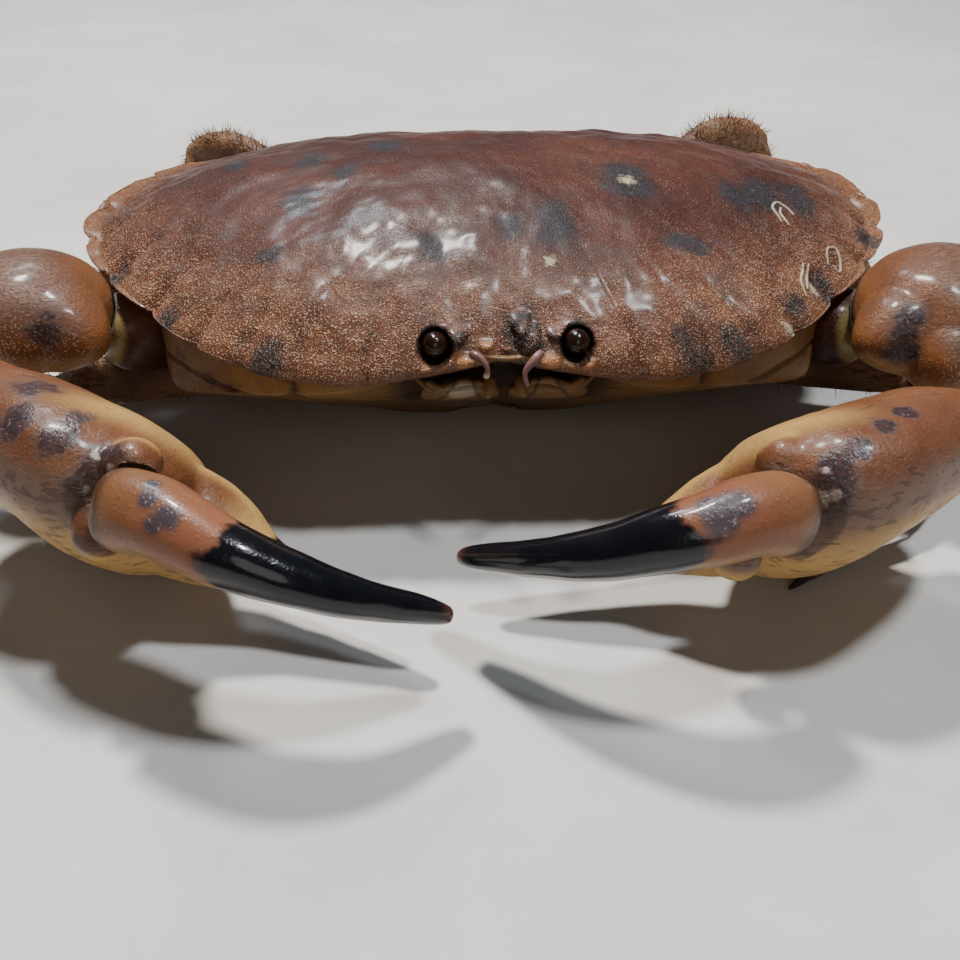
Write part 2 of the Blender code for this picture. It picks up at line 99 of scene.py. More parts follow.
# Claws: the centre line of each plate, and the way that the back of the claw faces.
CLAWS = {
    "left": {
        "back": (0.05, -0.80, 0.60),
        "arm": ((-62, -10.5, 26), (-73, -16, 28.5), (-83, -23, 31)),
        "wrist": (-97.5, -24, 37),
        "wrist_size": (18, 17, 12.5),
        "hinge": (-97, -38, 34),
        "hinge_size": 8,
        "palm": ((-100, -45, 32), (-94, -57, 30), (-86, -63.4, 29), (-77.5, -69.6, 27.4), (-67.6, -77, 25.4),
                 (-57, -85.2, 22)),
        "thumb": ((-66, -78, 24), (-57, -79, 20.5), (-44.4, -83.5, 14.5), (-29, -90, 12), (-15, -96, 11.5)),
        "finger": ((-64.5, -96, 36.4), (-57, -99.9, 37.1), (-46, -106.2, 34.7), (-31, -109, 29.2),
                   (-11, -103.9, 18.7)),
        "lobes": ((-61.8, -89, 39.6, 5), (-67.4, -95.5, 31, 4.8)),
        "point": (-79, -38, 36),
    },
    "right": {
        "back": (-0.05, -0.80, 0.60),
        "arm": ((64.8, -11.5, 26.5), (72, -19.5, 28.5), (79, -29, 31)),
        "wrist": (93, -33, 37),
        "wrist_size": (18, 18, 14),
        "hinge": (88, -55, 32),
        "hinge_size": 7.5,
        "palm": ((84.5, -63, 29), (79, -70, 29.6), (72, -74, 29.2), (62.5, -78, 27.4), (51.3, -83, 25.8),
                 (38, -89.4, 22.4)),
        "thumb": ((50, -80, 24), (40, -82.4, 21), (26, -81, 15), (11, -81, 12.5), (-4, -80.5, 12)),
        "finger": ((44, -101.4, 34.4), (40, -102.9, 36.8), (28, -106, 36), (13, -102.6, 29.6),
                   (-9, -88, 18.3)),
        "lobes": ((45, -90.5, 38, 5.2), (36.8, -97, 24.4, 4.6), (46, -98, 28.4, 4.6)),
        "point": (72, -46, 36),
    },
}
ARM = {"wide": (7.5, 8.5, 8), "tall": (7, 8.5, 8)}
PALM = {"wide": (7, 10.5, 12.2, 13.2, 14.4, 13.4), "tall": (8, 15, 21, 24, 23.5, 18)}
THUMB = {"wide": (12, 9.8, 4.8, 3.3, 2), "tall": (10, 9, 6.5, 4.4, 2)}
FINGER = {"wide": (7.4, 6.1, 4.7, 3.3, 2.2), "tall": (7.0, 7.4, 6.4, 4.5, 2.4)}
POINT_SIZE = 5.5
THUMB_BLACK_FROM = 0.42
BLACK_FROM = {
    # share of the finger where the black starts: on its face, on its top edge and on its lower edge
    "left": (0.33, 0.36, 0.38),
    "right": (0.27, 0.31, 0.33),
}

# Walking legs.
LEG_LENGTHS = (42, 19, 31, 35)
LEG_WIDE = ((4.4, 5.0, 4.4), (4.3, 5.2, 4.4), (4.1, 4.3, 3.3), (3.0, 2.4, 0.8))
LEG_TALL = ((5.8, 6.9, 5.8), (5.3, 6.3, 5.3), (4.9, 5.2, 3.9), (3.4, 2.6, 0.8))
TIP_HEIGHT = 1.0
BRISTLE_DENSITY = (350000.0, 350000.0, 350000.0, 900000.0)
BRISTLE_LENGTH = 0.0026
LEGS = {
    "left": (
        ((56, -6, 13.5), (-12, -70, -118, -168), (0, -11, -7), 0.95),
        ((54, 6, 13), (8, 20, -174, -176), (29, -60, -20), 0.9),
        ((54, 24, 15), (16, 30, 172, 162), (29, -60, -20), 0.9),
        ((39, 48, 19), (44, 28, -50, -145), (32, -10, -70), 0.93),
    ),
    "right": (
        ((56, -6, 14), (-15, -75, -125, -149), (0, -9, -6), 1.0),
        ((54, 6, 13), (8, 20, -174, -176), (29, -60, -20), 0.92),
        ((54, 24, 15), (16, 30, 172, 162), (29, -60, -20), 0.9),
        ((39, 48, 19), (42, 25, -50, -145), (34, -12, -70), 0.98),
    ),
}

# Mouth plates and feelers.
MOUTH_PLATE = ((9.2, -53.4, 33.0), (8.6, -47.8, 28.6), (8.0, -32, 17.6))
MOUTH_TRIM = (
    # palp, raised edge and outer strip: the line of each and its half sizes
    (((2.9, -52.6, 34.6), (3.1, -54.2, 33.2), (3.8, -54.9, 31.2)), (1.2, 1.1, 0.7)),
    (((4.6, -53.6, 34.0), (8.6, -54.3, 34.6), (12.0, -54.2, 33.4), (15.2, -52.8, 34.2)), (0.5, 0.8, 0.7, 0.5)),
    (((10.0, -53.2, 31.6), (14.0, -53.0, 32.4), (17.4, -51.4, 34.2)), (0.5, 0.8, 0.5)),
)
MOUTH_BAR = ((-5.6, -55.0, 40.9), (1.0, -55.6, 40.2), (7.6, -55.0, 40.9))
PALE_PATCH = (-7.6, -54.0, 31.6)
FEELERS = {
    "left": ((-6.0, -57.9, 42.6), (-4.3, -59.4, 42.3), (-3.0, -60.5, 40.9), (-3.2, -60.5, 38.8)),
    "right": ((7.3, -58.0, 42.6), (5.6, -59.6, 41.7), (4.0, -60.6, 39.8), (4.6, -60.3, 36.6)),
}
FEELER_SIZES = {"left": (0.95, 0.85, 0.5, 0.75), "right": (0.95, 0.8, 0.5, 0.45)}

# Blotches. On the back: x, y, half width, half length. Elsewhere: x, y, z, radius.
SLATE_ON_BACK = (
    (28.3, -12.3, 6.4, 8.6), (53, -12, 4.6, 6), (59, -8, 6, 8), (68, -4, 5, 8), (-30.7, -6.7, 2.5, 4),
    (-39.7, -15.8, 4, 6), (-57, 13, 3, 6), (-38.9, 3.3, 4, 6), (-22.6, 9.7, 4, 5), (-44.7, -31.9, 3, 3),
    (-12.6, -36.2, 4, 4), (11.8, -31.5, 4, 8), (2.8, -31.8, 3, 4), (38.7, -33.2, 5, 3), (-79, -19, 3.2, 4),
    (-66.3, -36.4, 3.6, 3), (-44.6, -52.1, 3.6, 3), (84.3, -8.6, 3.4, 4), (67.8, -31.2, 4, 4),
    (60.2, -39.1, 3, 3), (45.3, -51, 4.2, 3), (36, -53.8, 4.2, 3), (3.8, -52.8, 3.8, 4.2),
)
CHALK_ON_BACK = (
    (28.8, -13, 1.7, 2.2), (10, -40.6, 1.5, 1.5), (57.9, -44.8, 2.4, 1.2), (88.3, 13.4, 2, 3), (65, -33, 1.2, 1.2),
)
SLATE_ON_FLANK = (
    (-64, -32, 30, 2.4), (-58, -38, 28, 2.2), (-53, -42, 28, 1.8), (-35, -53, 29, 1.6), (44, -47, 27, 1.8),
)
SLATE_ON_PALM = {
    "left": ((-65.1, -90.3, 42.6, 3.6), (-67.2, -91.2, 39.4, 4.2), (-69.3, -92.9, 37.3, 3.6), (-80.2, -74.3, 46.5, 4.5),
             (-80.7, -83.8, 46, 4), (-74.8, -88, 44.3, 3.4), (-72.3, -86.4, 45.1, 2.8), (-71, -83.3, 45.5, 2.2)),
    "right": ((50.6, -98.5, 41.4, 4), (49.1, -100.3, 37.7, 4.4), (46.4, -101.5, 36, 3.4), (59.4, -91.9, 45.5, 2.4),
              (64.4, -87.4, 45.6, 2.2), (54.4, -96.2, 44.3, 2.4)),
}
CHALK_ON_PALM = {
    "left": ((-67.7, -89.2, 42, 0.9), (-64.6, -91.8, 41.2, 1.1), (-69, -92.7, 37.6, 0.7)),
    "right": ((48.2, -100.4, 37.6, 1.3), (50.3, -100.4, 38.3, 1.0), (46, -100.4, 36, 0.9), (49, -97.7, 41.3, 0.8)),
}
SLATE_ON_FINGER = {
    "left": ((-56, -101.3, 43.9, 1.6), (-55.9, -104.2, 43.7, 2), (-52.9, -107, 42.2, 2.6), (-55, -107.6, 41, 2)),
    "right": ((29.2, -110.6, 41.8, 3.6), (31.8, -109, 43.2, 3.2), (28, -109, 43, 3)),
}
SLATE_ON_WRIST = {
    "left": ((-88.6, -40.4, 39.6, 3.6), (-88.6, -38.6, 42.6, 2), (-108, -36, 40, 3), (-106, -28, 46, 2.6)),
    "right": ((80.8, -46.4, 42.6, 3.4), (79.8, -48.4, 40.2, 3.2), (79.4, -49, 36.4, 3.6), (90, -42, 45, 2.4)),
}

# Worm tubes on the right of the back: the places that each passes through.
WORM_TUBES = (
    ((61.4, -17.9), (61.0, -11.4), (62.3, -9.9), (64.2, -11.1), (65.4, -13.0)),
    ((62.9, -18.3), (62.0, -14.1), (62.7, -11.5)),
    ((70.3, -25.1), (71.1, -21.3), (72.8, -20.5), (73.7, -22.8), (72.8, -25.1), (71.6, -24.3)),
    ((62.8, -36.5), (62.4, -32.7), (63.5, -29.7), (64.3, -27.0)),
    ((65.6, -26.7), (64.3, -30.5), (63.5, -34.3)),
)


# Shapes


def through(knots, x):
    """A smooth curve through (x, value) pairs, read at every x."""
    at = np.array([knot[0] for knot in knots], float)
    value = np.array([knot[1] for knot in knots], float)
    slope = np.gradient(value, at)
    x = np.clip(x, at[0], at[-1])
    i = np.clip(np.searchsorted(at, x) - 1, 0, len(at) - 2)
    width = at[i + 1] - at[i]
    f = (x - at[i]) / width
    return (
        (2 * f**3 - 3 * f**2 + 1) * value[i]
        + (f**3 - 2 * f**2 + f) * width * slope[i]
        + (3 * f**2 - 2 * f**3) * value[i + 1]
        + (f**3 - f**2) * width * slope[i + 1]
    )


def centre_line(points, s):
    """Points of a smooth line through the given points, for s from 0 to 1, and its direction there."""
    points = np.array(points, float)
    steps = np.linalg.norm(np.diff(points, axis=0), axis=1)
    at = np.concatenate([[0.0], np.cumsum(steps)]) / steps.sum()

    def place(share):
        return np.stack([through(list(zip(at, points[:, k])), share) for k in range(3)], axis=-1)

    ahead = place(np.clip(s + 1e-3, 0, 1))
    behind = place(np.clip(s - 1e-3, 0, 1))
    return place(s), unit(ahead - behind)


def unit(vectors):
    return vectors / np.maximum(np.linalg.norm(vectors, axis=-1, keepdims=True), 1e-9)


def squared(value, power):
    return np.sign(value) * np.abs(value) ** power


def smooth(value):
    value = np.clip(value, 0, 1)
    return value * value * (3 - 2 * value)


def hump(away, width):
    """1 at a line and 0 far from it. The width is where it has fallen to a third."""
    return np.exp(-((away / width) ** 2))


def closed_grid(around, along, place):
    """Points and faces of a round shape whose rings run between two poles."""
    angle = np.linspace(-math.pi, math.pi, around, endpoint=False)
    share = np.linspace(0, 1, along + 1)[1:-1]
    angles, shares = np.meshgrid(angle, share)
    rings = place(angles.ravel(), shares.ravel())
    ends = place(np.zeros(2), np.array([0.0, 1.0]))
    points = np.concatenate([rings, ends])
    low, high = len(rings), len(rings) + 1
    faces = []
    for ring in range(along - 2):
        here, above = ring * around, (ring + 1) * around
        for step in range(around):
            following = (step + 1) % around
            faces.append((here + step, here + following, above + following, above + step))
    last = (along - 2) * around
    for step in range(around):
        following = (step + 1) % around
        faces.append((low, following, step))
        faces.append((high, last + step, last + following))
    return points, faces


def limb(grid, line, wide, tall, up, blunt=4.0, square=0.9, spare=0.0):
    """Points and faces of a plate that follows a centre line. wide and tall are half sizes along the line.

    grid is how many points go round it and how many rings it has. A high blunt makes the ends square; it may be
    a pair, for the first and the last end.
    """
    up = np.array(up, float)
    stations = np.linspace(0, 1, len(wide))

    def place(angle, share):
        share = 0.5 + 0.5 * np.sin((share - 0.5) * math.pi)
        middle, ahead = centre_line(line, share)
        side = unit(np.cross(np.broadcast_to(up, ahead.shape), ahead))
        back = np.cross(ahead, side)
        bluntness = np.where(share < 0.5, *blunt) if isinstance(blunt, tuple) else blunt
        cap = np.clip(1 - np.abs(2 * share - 1) ** bluntness, 0, 1) ** (1 / bluntness)
        half_wide = (through(list(zip(stations, wide)), share) + spare) * cap
        half_tall = (through(list(zip(stations, tall)), share) + spare) * cap
        across = squared(np.cos(angle), square) * half_wide
        over = squared(np.sin(angle), square) * half_tall
        return middle + side * across[:, None] + back * over[:, None]

    return closed_grid(*grid, place)


def ball(centre, radii, around=40, along=26):
    centre = np.array(centre, float)
    radii = np.array(radii, float) * np.ones(3)

    def place(angle, share):
        level = (share - 0.5) * math.pi
        return centre + radii * np.stack(
            [np.cos(angle) * np.cos(level), np.sin(angle) * np.cos(level), np.sin(level)], axis=-1
        )

    return closed_grid(around, along, place)


def new_object(name, points, faces):
    mesh = bpy.data.meshes.new(name)
    mesh.from_pydata([tuple(point) for point in np.asarray(points) * MM], [], faces)
    mesh.update()
    obj = bpy.data.objects.new(name, mesh)
    bpy.context.scene.collection.objects.link(obj)
    return obj


def settle(obj):
    """Turns the modifiers of an object into a plain mesh."""
    depsgraph = bpy.context.evaluated_depsgraph_get()
    mesh = bpy.data.meshes.new_from_object(obj.evaluated_get(depsgraph))
    mesh.name = obj.name
    obj.modifiers.clear()
    obj.data = mesh
    return obj


def fuse(name, shapes, voxel, rounds=4):
    """Joins overlapping shapes into one skin with softened creases."""
    points, faces, start = [], [], 0
    for shape_points, shape_faces in shapes:
        points.append(shape_points)
        faces.extend(tuple(start + corner for corner in face) for face in shape_faces)
        start += len(shape_points)
    obj = new_object(name, np.concatenate(points), faces)
    remesh = obj.modifiers.new("skin", "REMESH")
    remesh.mode = "VOXEL"
    remesh.voxel_size = voxel * MM
    soften = obj.modifiers.new("soften", "SMOOTH")
    soften.factor = 0.5
    soften.iterations = rounds
    return settle(obj)


def carve(obj, shapes):
    """Cuts shapes out of an object."""
    for number, (points, faces) in enumerate(shapes):
        cutter = new_object(f"cutter_{number}", points, faces)
        modifier = obj.modifiers.new("carve", "BOOLEAN")
        modifier.operation = "DIFFERENCE"
        modifier.solver = "EXACT"
        modifier.object = cutter
        settle(obj)
        bpy.data.objects.remove(cutter, do_unlink=True)
    return obj


def read_points(obj):
    points = np.empty(len(obj.data.vertices) * 3)
    obj.data.vertices.foreach_get("co", points)
    return points.reshape(-1, 3) / MM


def read_normals(obj):
    normals = np.empty(len(obj.data.vertices) * 3)
    obj.data.vertex_normals.foreach_get("vector", normals)
    return normals.reshape(-1, 3)


def write_points(obj, points):
    obj.data.vertices.foreach_set("co", (points * MM).ravel())
    obj.data.update()


def swell(obj, amount):
    """Moves every point along its normal by the amount in millimetres."""
    write_points(obj, read_points(obj) + read_normals(obj) * np.asarray(amount)[:, None])


def keep_above(obj, floor):
    """Lifts the points that lie below a height, and returns all points."""
    points = read_points(obj)
    points[:, 2] = np.maximum(points[:, 2], floor)
    write_points(obj, points)
    return points


def lumps(points, size, seed=0.0):
    """Smooth random relief from -1 to 1 whose lumps are about the given size across."""
    shift = Vector((seed, seed * 0.7, -seed))
    return np.array([noise.noise(Vector(point) / size + shift) for point in points])


def spot_share(points, spots):
    """1 at the middle of the nearest spot, 0 on its edge and below 0 outside it."""
    best = np.full(len(points), -1.0)
    for x, y, z, radius in spots:
        best = np.maximum(best, 1 - np.linalg.norm(points - (x, y, z), axis=1) / radius)
    return best


def flat_spot_share(points, spots):
    """The same for oval spots, seen from above."""
    best = np.full(len(points), -1.0)
    for x, y, wide, long in spots:
        away = np.hypot((points[:, 0] - x) / wide, (points[:, 1] - y) / long)
        best = np.maximum(best, 1 - away)
    return best


def paint(obj, **shares):
    """Writes named values on the points of a piece, for its material. A single number is for all points."""
    for name, values in shares.items():
        attribute = obj.data.attributes.new(name, "FLOAT", "POINT")
        values = np.broadcast_to(np.asarray(values, np.float32), len(obj.data.vertices))
        attribute.data.foreach_set("value", np.ascontiguousarray(values))


def line_share(points, line):
    """How far along a centre line each point lies, and how far from it."""
    s = np.linspace(0, 1, 160)
    middle, _ = centre_line(line, s)
    away = np.linalg.norm(points[:, None, :] - middle[None], axis=2)
    nearest = away.argmin(axis=1)
    return s[nearest], away.min(axis=1)


def section_share(points, line, sizes, up):
    """How far out each point lies in the section of a limb: 1 on its surface."""
    s = np.linspace(0, 1, 160)
    middle, ahead = centre_line(line, s)
    nearest = np.linalg.norm(points[:, None, :] - middle[None], axis=2).argmin(axis=1)
    side = unit(np.cross(np.broadcast_to(up, ahead.shape), ahead))
    back = np.cross(ahead, side)
    away = points - middle[nearest]
    stations = np.linspace(0, 1, len(sizes["wide"]))
    half_wide = through(list(zip(stations, sizes["wide"])), s[nearest])
    half_tall = through(list(zip(stations, sizes["tall"])), s[nearest])
    across = (away * side[nearest]).sum(axis=1) / half_wide
    over = (away * back[nearest]).sum(axis=1) / half_tall
    along = (away * ahead[nearest]).sum(axis=1) / half_wide
    return np.sqrt(across**2 + over**2 + along**2)


def dress(obj, material, slot, *nodes):
    """Gives a finished piece its material and smooth shading, hangs it under the root and hides the imported nodes it
    stands for.
    """
    obj.data.materials.clear()
    obj.data.materials.append(material)
    obj.data.shade_smooth()
    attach(obj, "root")
    if nodes:
        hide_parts(*nodes)
    return obj


# Node helpers for the materials


def put(tree, kind, settings=None, values=None):
    node = tree.nodes.new(kind)
    for name, value in (settings or {}).items():
        setattr(node, name, value)
    for socket, value in (values or {}).items():
        feed(tree, node.inputs[socket], value)
    return node


def feed(tree, socket, value):
    if isinstance(value, bpy.types.NodeSocket):
        tree.links.new(value, socket)
    else:
        socket.default_value = value


def maths(tree, operation, first, second=0.0, clamp=False):
    return put(tree, "ShaderNodeMath", {"operation": operation, "use_clamp": clamp}, {0: first, 1: second}).outputs[0]


def total(tree, *terms):
    """Adds value and weight pairs."""
    result = 0.0
    for value, weight in terms:
        result = maths(tree, "ADD", maths(tree, "MULTIPLY", value, weight), result)
    return result


def step_up(tree, value, low, high):
    """0 below the low value and 1 above the high one, with a smooth change between."""
    values = {"Value": value, "From Min": low, "From Max": high}
    return put(tree, "ShaderNodeMapRange", {"interpolation_type": "SMOOTHSTEP"}, values).outputs["Result"]


def blend_colour(tree, factor, first, second):
    node = put(tree, "ShaderNodeMix", {"data_type": "RGBA", "blend_type": "MIX"})
    feed(tree, node.inputs[0], factor)
    feed(tree, node.inputs[6], (*first, 1.0) if isinstance(first, tuple) else first)
    feed(tree, node.inputs[7], (*second, 1.0) if isinstance(second, tuple) else second)
    return node.outputs[2]


def layered(tree, colour, *layers):
    """Lays tones over a colour. Each layer is a share of the surface or its painted name, a strength and a tone."""
    for share, strength, tone in layers:
        if isinstance(share, str):
            share = painted(tree, share)
        colour = blend_colour(tree, maths(tree, "MULTIPLY", share, strength), colour, tone)
    return colour


def object_place(tree):
    return put(tree, "ShaderNodeTexCoord").outputs["Object"]


def cloud(tree, place, scale, detail=3.0, rough=0.55):
    values = {"Vector": place, "Scale": scale, "Detail": detail, "Roughness": rough}
    return put(tree, "ShaderNodeTexNoise", None, values).outputs[0]


def painted(tree, name):
    return put(tree, "ShaderNodeAttribute", {"attribute_name": name}).outputs["Fac"]


def new_group(name, inputs, outputs):
    group = bpy.data.node_groups.new(name, "ShaderNodeTree")
    for label, value in inputs.items():
        socket = group.interface.new_socket(name=label, in_out="INPUT", socket_type="NodeSocketFloat")
        socket.default_value = value
    for label in outputs:
        group.interface.new_socket(name=label, in_out="OUTPUT", socket_type="NodeSocketFloat")
    return group, put(group, "NodeGroupInput").outputs, put(group, "NodeGroupOutput").inputs


def use(tree, group, **values):
    node = put(tree, "ShaderNodeGroup", {"node_tree": group})
    for label, value in values.items():
        feed(tree, node.inputs[label.replace("_", " ").capitalize()], value)
    return node.outputs


def granule_group():
    """Fine round granules that cover a shell, some of them missing."""
    group, given, result = new_group("granules", {"Scale": 1100.0, "Cover": 0.7}, ("Height", "Tops"))
    place = object_place(group)
    cells = put(group, "ShaderNodeTexVoronoi", {"feature": "F1"}, {"Vector": place, "Scale": given["Scale"]})
    chance = put(group, "ShaderNodeSeparateColor", None, {0: cells.outputs["Color"]}).outputs[0]
    there = step_up(group, maths(group, "SUBTRACT", given["Cover"], chance), -0.05, 0.1)
    size = total(group, (cloud(group, place, 400.0, 2.0), 0.3), (1.0, 0.32))
    bump = maths(group, "SUBTRACT", 1.0, maths(group, "DIVIDE", cells.outputs["Distance"], size), clamp=True)
    feed(group, result["Height"], maths(group, "MULTIPLY", maths(group, "POWER", bump, 0.6), there))
    feed(group, result["Tops"], step_up(group, maths(group, "MULTIPLY", bump, there), 0.06, 0.48))
    return group


def blotch_group():
    """A ragged patch from a painted share, with a thin pale crust at its edge and specks inside."""
    group, given, result = new_group(
        "blotch", {"Share": 0.0, "Scale": 260.0, "Ragged": 0.5}, ("Patch", "Rim", "Specks")
    )
    place = object_place(group)
    broad = maths(group, "SUBTRACT", cloud(group, place, given["Scale"], 5.0, 0.65), 0.5)
    level = total(group, (given["Share"], 1.0), (maths(group, "MULTIPLY", broad, given["Ragged"]), 3.0))
    outer = step_up(group, level, -0.12, 0.08)
    inner = step_up(group, level, 0.10, 0.30)
    flecks = step_up(group, cloud(group, place, 1400.0, 2.0), 0.58, 0.68)
    feed(group, result["Patch"], step_up(group, level, -0.3, 0.5))
    feed(group, result["Rim"], maths(group, "SUBTRACT", outer, inner, clamp=True))
    feed(group, result["Specks"], maths(group, "MULTIPLY", flecks, inner))
    return group


def mottle_group():
    """Broad, middle and fine changes of tone over a plate of shell."""
    group, given, result = new_group("mottle", {"Scale": 60.0}, ("Broad", "Middle", "Fine"))
    place = object_place(group)
    for name, finer, detail, rough, low, high in (
        ("Broad", 1.0, 3.0, 0.55, 0.35, 0.68),
        ("Middle", 4.0, 4.0, 0.6, 0.38, 0.66),
        ("Fine", 22.0, 2.0, 0.55, 0.35, 0.65),
    ):
        scale = maths(group, "MULTIPLY", given["Scale"], finer)
        feed(group, result[name], step_up(group, cloud(group, place, scale, detail, rough), low, high))
    return group


def dash_group():
    """Short thin dark dashes that run along the shell in broken rows."""
    group, given, result = new_group("dashes", {"Scale": 1.0, "Amount": 0.5}, ("Dashes",))
    place = object_place(group)
    stretch = {"Vector": place, "Rotation": (0.5, 0.3, -0.65), "Scale": (220, 900, 900)}
    stretched = put(group, "ShaderNodeMapping", None, stretch).outputs[0]
    streaks = cloud(group, stretched, given["Scale"], 2.0, 0.5)
    broad = maths(group, "SUBTRACT", cloud(group, place, 120.0, 2.0), 0.5)
    amount = maths(group, "SUBTRACT", given["Amount"], 0.5)
    level = total(group, (streaks, 1.0), (broad, 0.35), (amount, 0.3))
    feed(group, result["Dashes"], step_up(group, level, 0.6, 0.66))
    return group


def shell_material(name, coat=0.0, coat_roughness=0.1):
    material = bpy.data.materials.new(name)
    material.use_nodes = True
    surface = material.node_tree.nodes["Principled BSDF"]
    surface.inputs["Coat Weight"].default_value = coat
    surface.inputs["Coat Roughness"].default_value = coat_roughness
    surface.inputs["Specular IOR Level"].default_value = SPECULAR
    return material, material.node_tree


def finish_material(material, colour, roughness, height, depth, coat=None):
    """Feeds the surface of a material. depth is the height of its relief in millimetres."""
    tree = material.node_tree
    surface = tree.nodes["Principled BSDF"]
    bump = put(tree, "ShaderNodeBump", None, {"Strength": 1.0, "Distance": depth * MM, "Height": height})
    feed(tree, surface.inputs["Base Color"], colour)
    feed(tree, surface.inputs["Roughness"], roughness)
    feed(tree, surface.inputs["Normal"], bump.outputs[0])
    if coat is not None:
        feed(tree, surface.inputs["Coat Weight"], coat)
    return material


def blackened(tree, ragged, blur):
    """How far each place is past the start of the black of a finger, and how black it is."""
    edge = maths(tree, "SUBTRACT", cloud(tree, object_place(tree), 220.0, 4.0), 0.5)
    along = total(tree, (painted(tree, "black"), 1.0), (edge, ragged))
    return along, step_up(tree, along, -0.012, blur)


def carapace_material(groups):
    """A red-brown back with granules that pale towards the face, slate blotches and chalky spots."""
    material, tree = shell_material("carapace_shell", 0.14, 0.2)
    tone = use(tree, groups["mottle"], scale=42.0)
    small = use(tree, groups["granules"], scale=2650.0, cover=1.0)
    large = use(tree, groups["granules"], scale=1500.0, cover=0.5)
    slate = use(tree, groups["blotch"], share=painted(tree, "slate"), scale=230.0, ragged=0.6)
    chalk = use(tree, groups["blotch"], share=painted(tree, "chalk"), scale=900.0, ragged=1.2)
    front = painted(tree, "front")
    thick = total(tree, (front, 0.85), (tone["Fine"], 0.05), (tone["Broad"], 0.06), (1.0, 0.02))
    bare = total(tree, (slate["Patch"], -0.55), (tone["Middle"], -0.35), (1.0, 1.1))
    pale = maths(tree, "MULTIPLY", thick, bare)
    colour = layered(
        tree,
        blend_colour(tree, tone["Broad"], (0.038, 0.0100, 0.0075), (0.078, 0.0225, 0.0140)),
        (front, 0.75, (0.165, 0.064, 0.033)),
        (tone["Middle"], 0.55, (0.020, 0.0085, 0.0085)),
        ("brim", 0.7, (0.19, 0.070, 0.026)),
        (slate["Patch"], total(tree, (tone["Fine"], 0.25), (1.0, 0.72)), (0.013, 0.015, 0.020)),
        (slate["Specks"], 0.25, (0.20, 0.195, 0.18)),
        (small["Tops"], pale, (0.42, 0.265, 0.17)),
        (large["Tops"], maths(tree, "MULTIPLY", pale, 0.7), (0.46, 0.30, 0.195)),
        ("orange", 0.85, (0.42, 0.185, 0.075)),
        (chalk["Patch"], 1.0, (0.36, 0.285, 0.20)),
        ("shade", 0.94, (0.010, 0.005, 0.004)),
    )
    grain = total(tree, (small["Height"], 0.6), (large["Height"], 0.55), (tone["Fine"], 0.15))
    coarse = total(tree, (front, 0.75), (1.0, 0.35))
    height = total(tree, (grain, coarse), (slate["Specks"], 0.3), (chalk["Patch"], 0.8))
    roughness = total(tree, (tone["Middle"], 0.12), (slate["Patch"], 0.05), (chalk["Patch"], 0.3), (1.0, 0.38))
    return finish_material(material, colour, roughness, height, 0.34)


def body_material(groups):
    """Yellow-brown flanks and mouth plates, with dark seams and painted shade in creases and low on the face."""
    material, tree = shell_material("body_cream", 0.1, 0.3)
    tone = use(tree, groups["mottle"], scale=45.0)
    marks = use(tree, groups["blotch"], share=painted(tree, "slate"), scale=420.0, ragged=0.8)
    scratch = use(tree, groups["dashes"], scale=0.7, amount=0.35)
    colour = layered(
        tree,
        blend_colour(tree, tone["Broad"], (0.175, 0.085, 0.024), (0.25, 0.140, 0.046)),
        (tone["Middle"], 0.45, (0.125, 0.055, 0.020)),
        ("pale", 1.0, (0.40, 0.345, 0.235)),
        (marks["Patch"], 0.85, (0.07, 0.028, 0.015)),
        (scratch["Dashes"], 0.4, (0.12, 0.06, 0.03)),
        # Painted shade in seams and recesses, partly the seams' own dark colour.
        ("crease", 0.9, (0.035, 0.015, 0.009)),
    )
    height = total(tree, (tone["Fine"], 0.4), (tone["Middle"], 0.6))
    return finish_material(material, colour, total(tree, (tone["Middle"], 0.15), (1.0, 0.38)), height, 0.15)


def claw_material(groups):
    """Palms and wrists: brown backs, orange knobs, cream undersides, slate blotches and chalky spots."""
    material, tree = shell_material("claw_shell", 0.12, 0.14)
    tone = use(tree, groups["mottle"], scale=60.0)
    small = use(tree, groups["granules"], scale=1700.0, cover=0.8)
    slate = use(tree, groups["blotch"], share=painted(tree, "slate"), scale=210.0, ragged=0.75)
    chalk = use(tree, groups["blotch"], share=painted(tree, "chalk"), scale=420.0, ragged=0.8)
    rows = total(tree, (painted(tree, "rows"), 1.4), (1.0, 1.0))
    scratch = use(tree, groups["dashes"], scale=rows, amount=painted(tree, "scratched"))
    granular = painted(tree, "granular")
    mauve = painted(tree, "mauve")
    _, black = blackened(tree, 0.12, 0.03)
    colour = layered(
        tree,
        blend_colour(tree, tone["Broad"], (0.092, 0.031, 0.014), (0.140, 0.056, 0.026)),
        (tone["Middle"], 0.5, (0.090, 0.032, 0.018)),
        ("orange", 1.0, (0.190, 0.068, 0.020)),
        (mauve, 1.0, (0.185, 0.120, 0.090)),
        ("cream", 1.0, (0.44, 0.265, 0.088)),
        (tone["Fine"], 0.12, (0.12, 0.055, 0.035)),
        (scratch["Dashes"], 0.5, (0.055, 0.028, 0.022)),
        (small["Tops"], maths(tree, "MULTIPLY", granular, 0.6), (0.46, 0.295, 0.165)),
        (slate["Rim"], 0.15, (0.30, 0.22, 0.16)),
        (slate["Patch"], total(tree, (tone["Fine"], 0.3), (1.0, 0.65)), (0.020, 0.017, 0.024)),
        (slate["Specks"], 0.35, (0.22, 0.19, 0.20)),
        (chalk["Patch"], 1.0, (0.38, 0.31, 0.25)),
        # Painted shade in the crevice of the seat of the moving finger.
        ("crease", 1.0, CREASE_SHADE_BROWN),
        (black, 1.0, (0.0040, 0.0042, 0.0068)),
    )
    height = total(
        tree, (small["Height"], granular), (tone["Fine"], 0.25), (scratch["Dashes"], -0.5), (chalk["Patch"], 0.5)
    )
    roughness = total(tree, (tone["Middle"], 0.12), (slate["Patch"], -0.1), (mauve, 0.1), (black, -0.2), (1.0, 0.40))
    return finish_material(material, colour, roughness, height, 0.16)


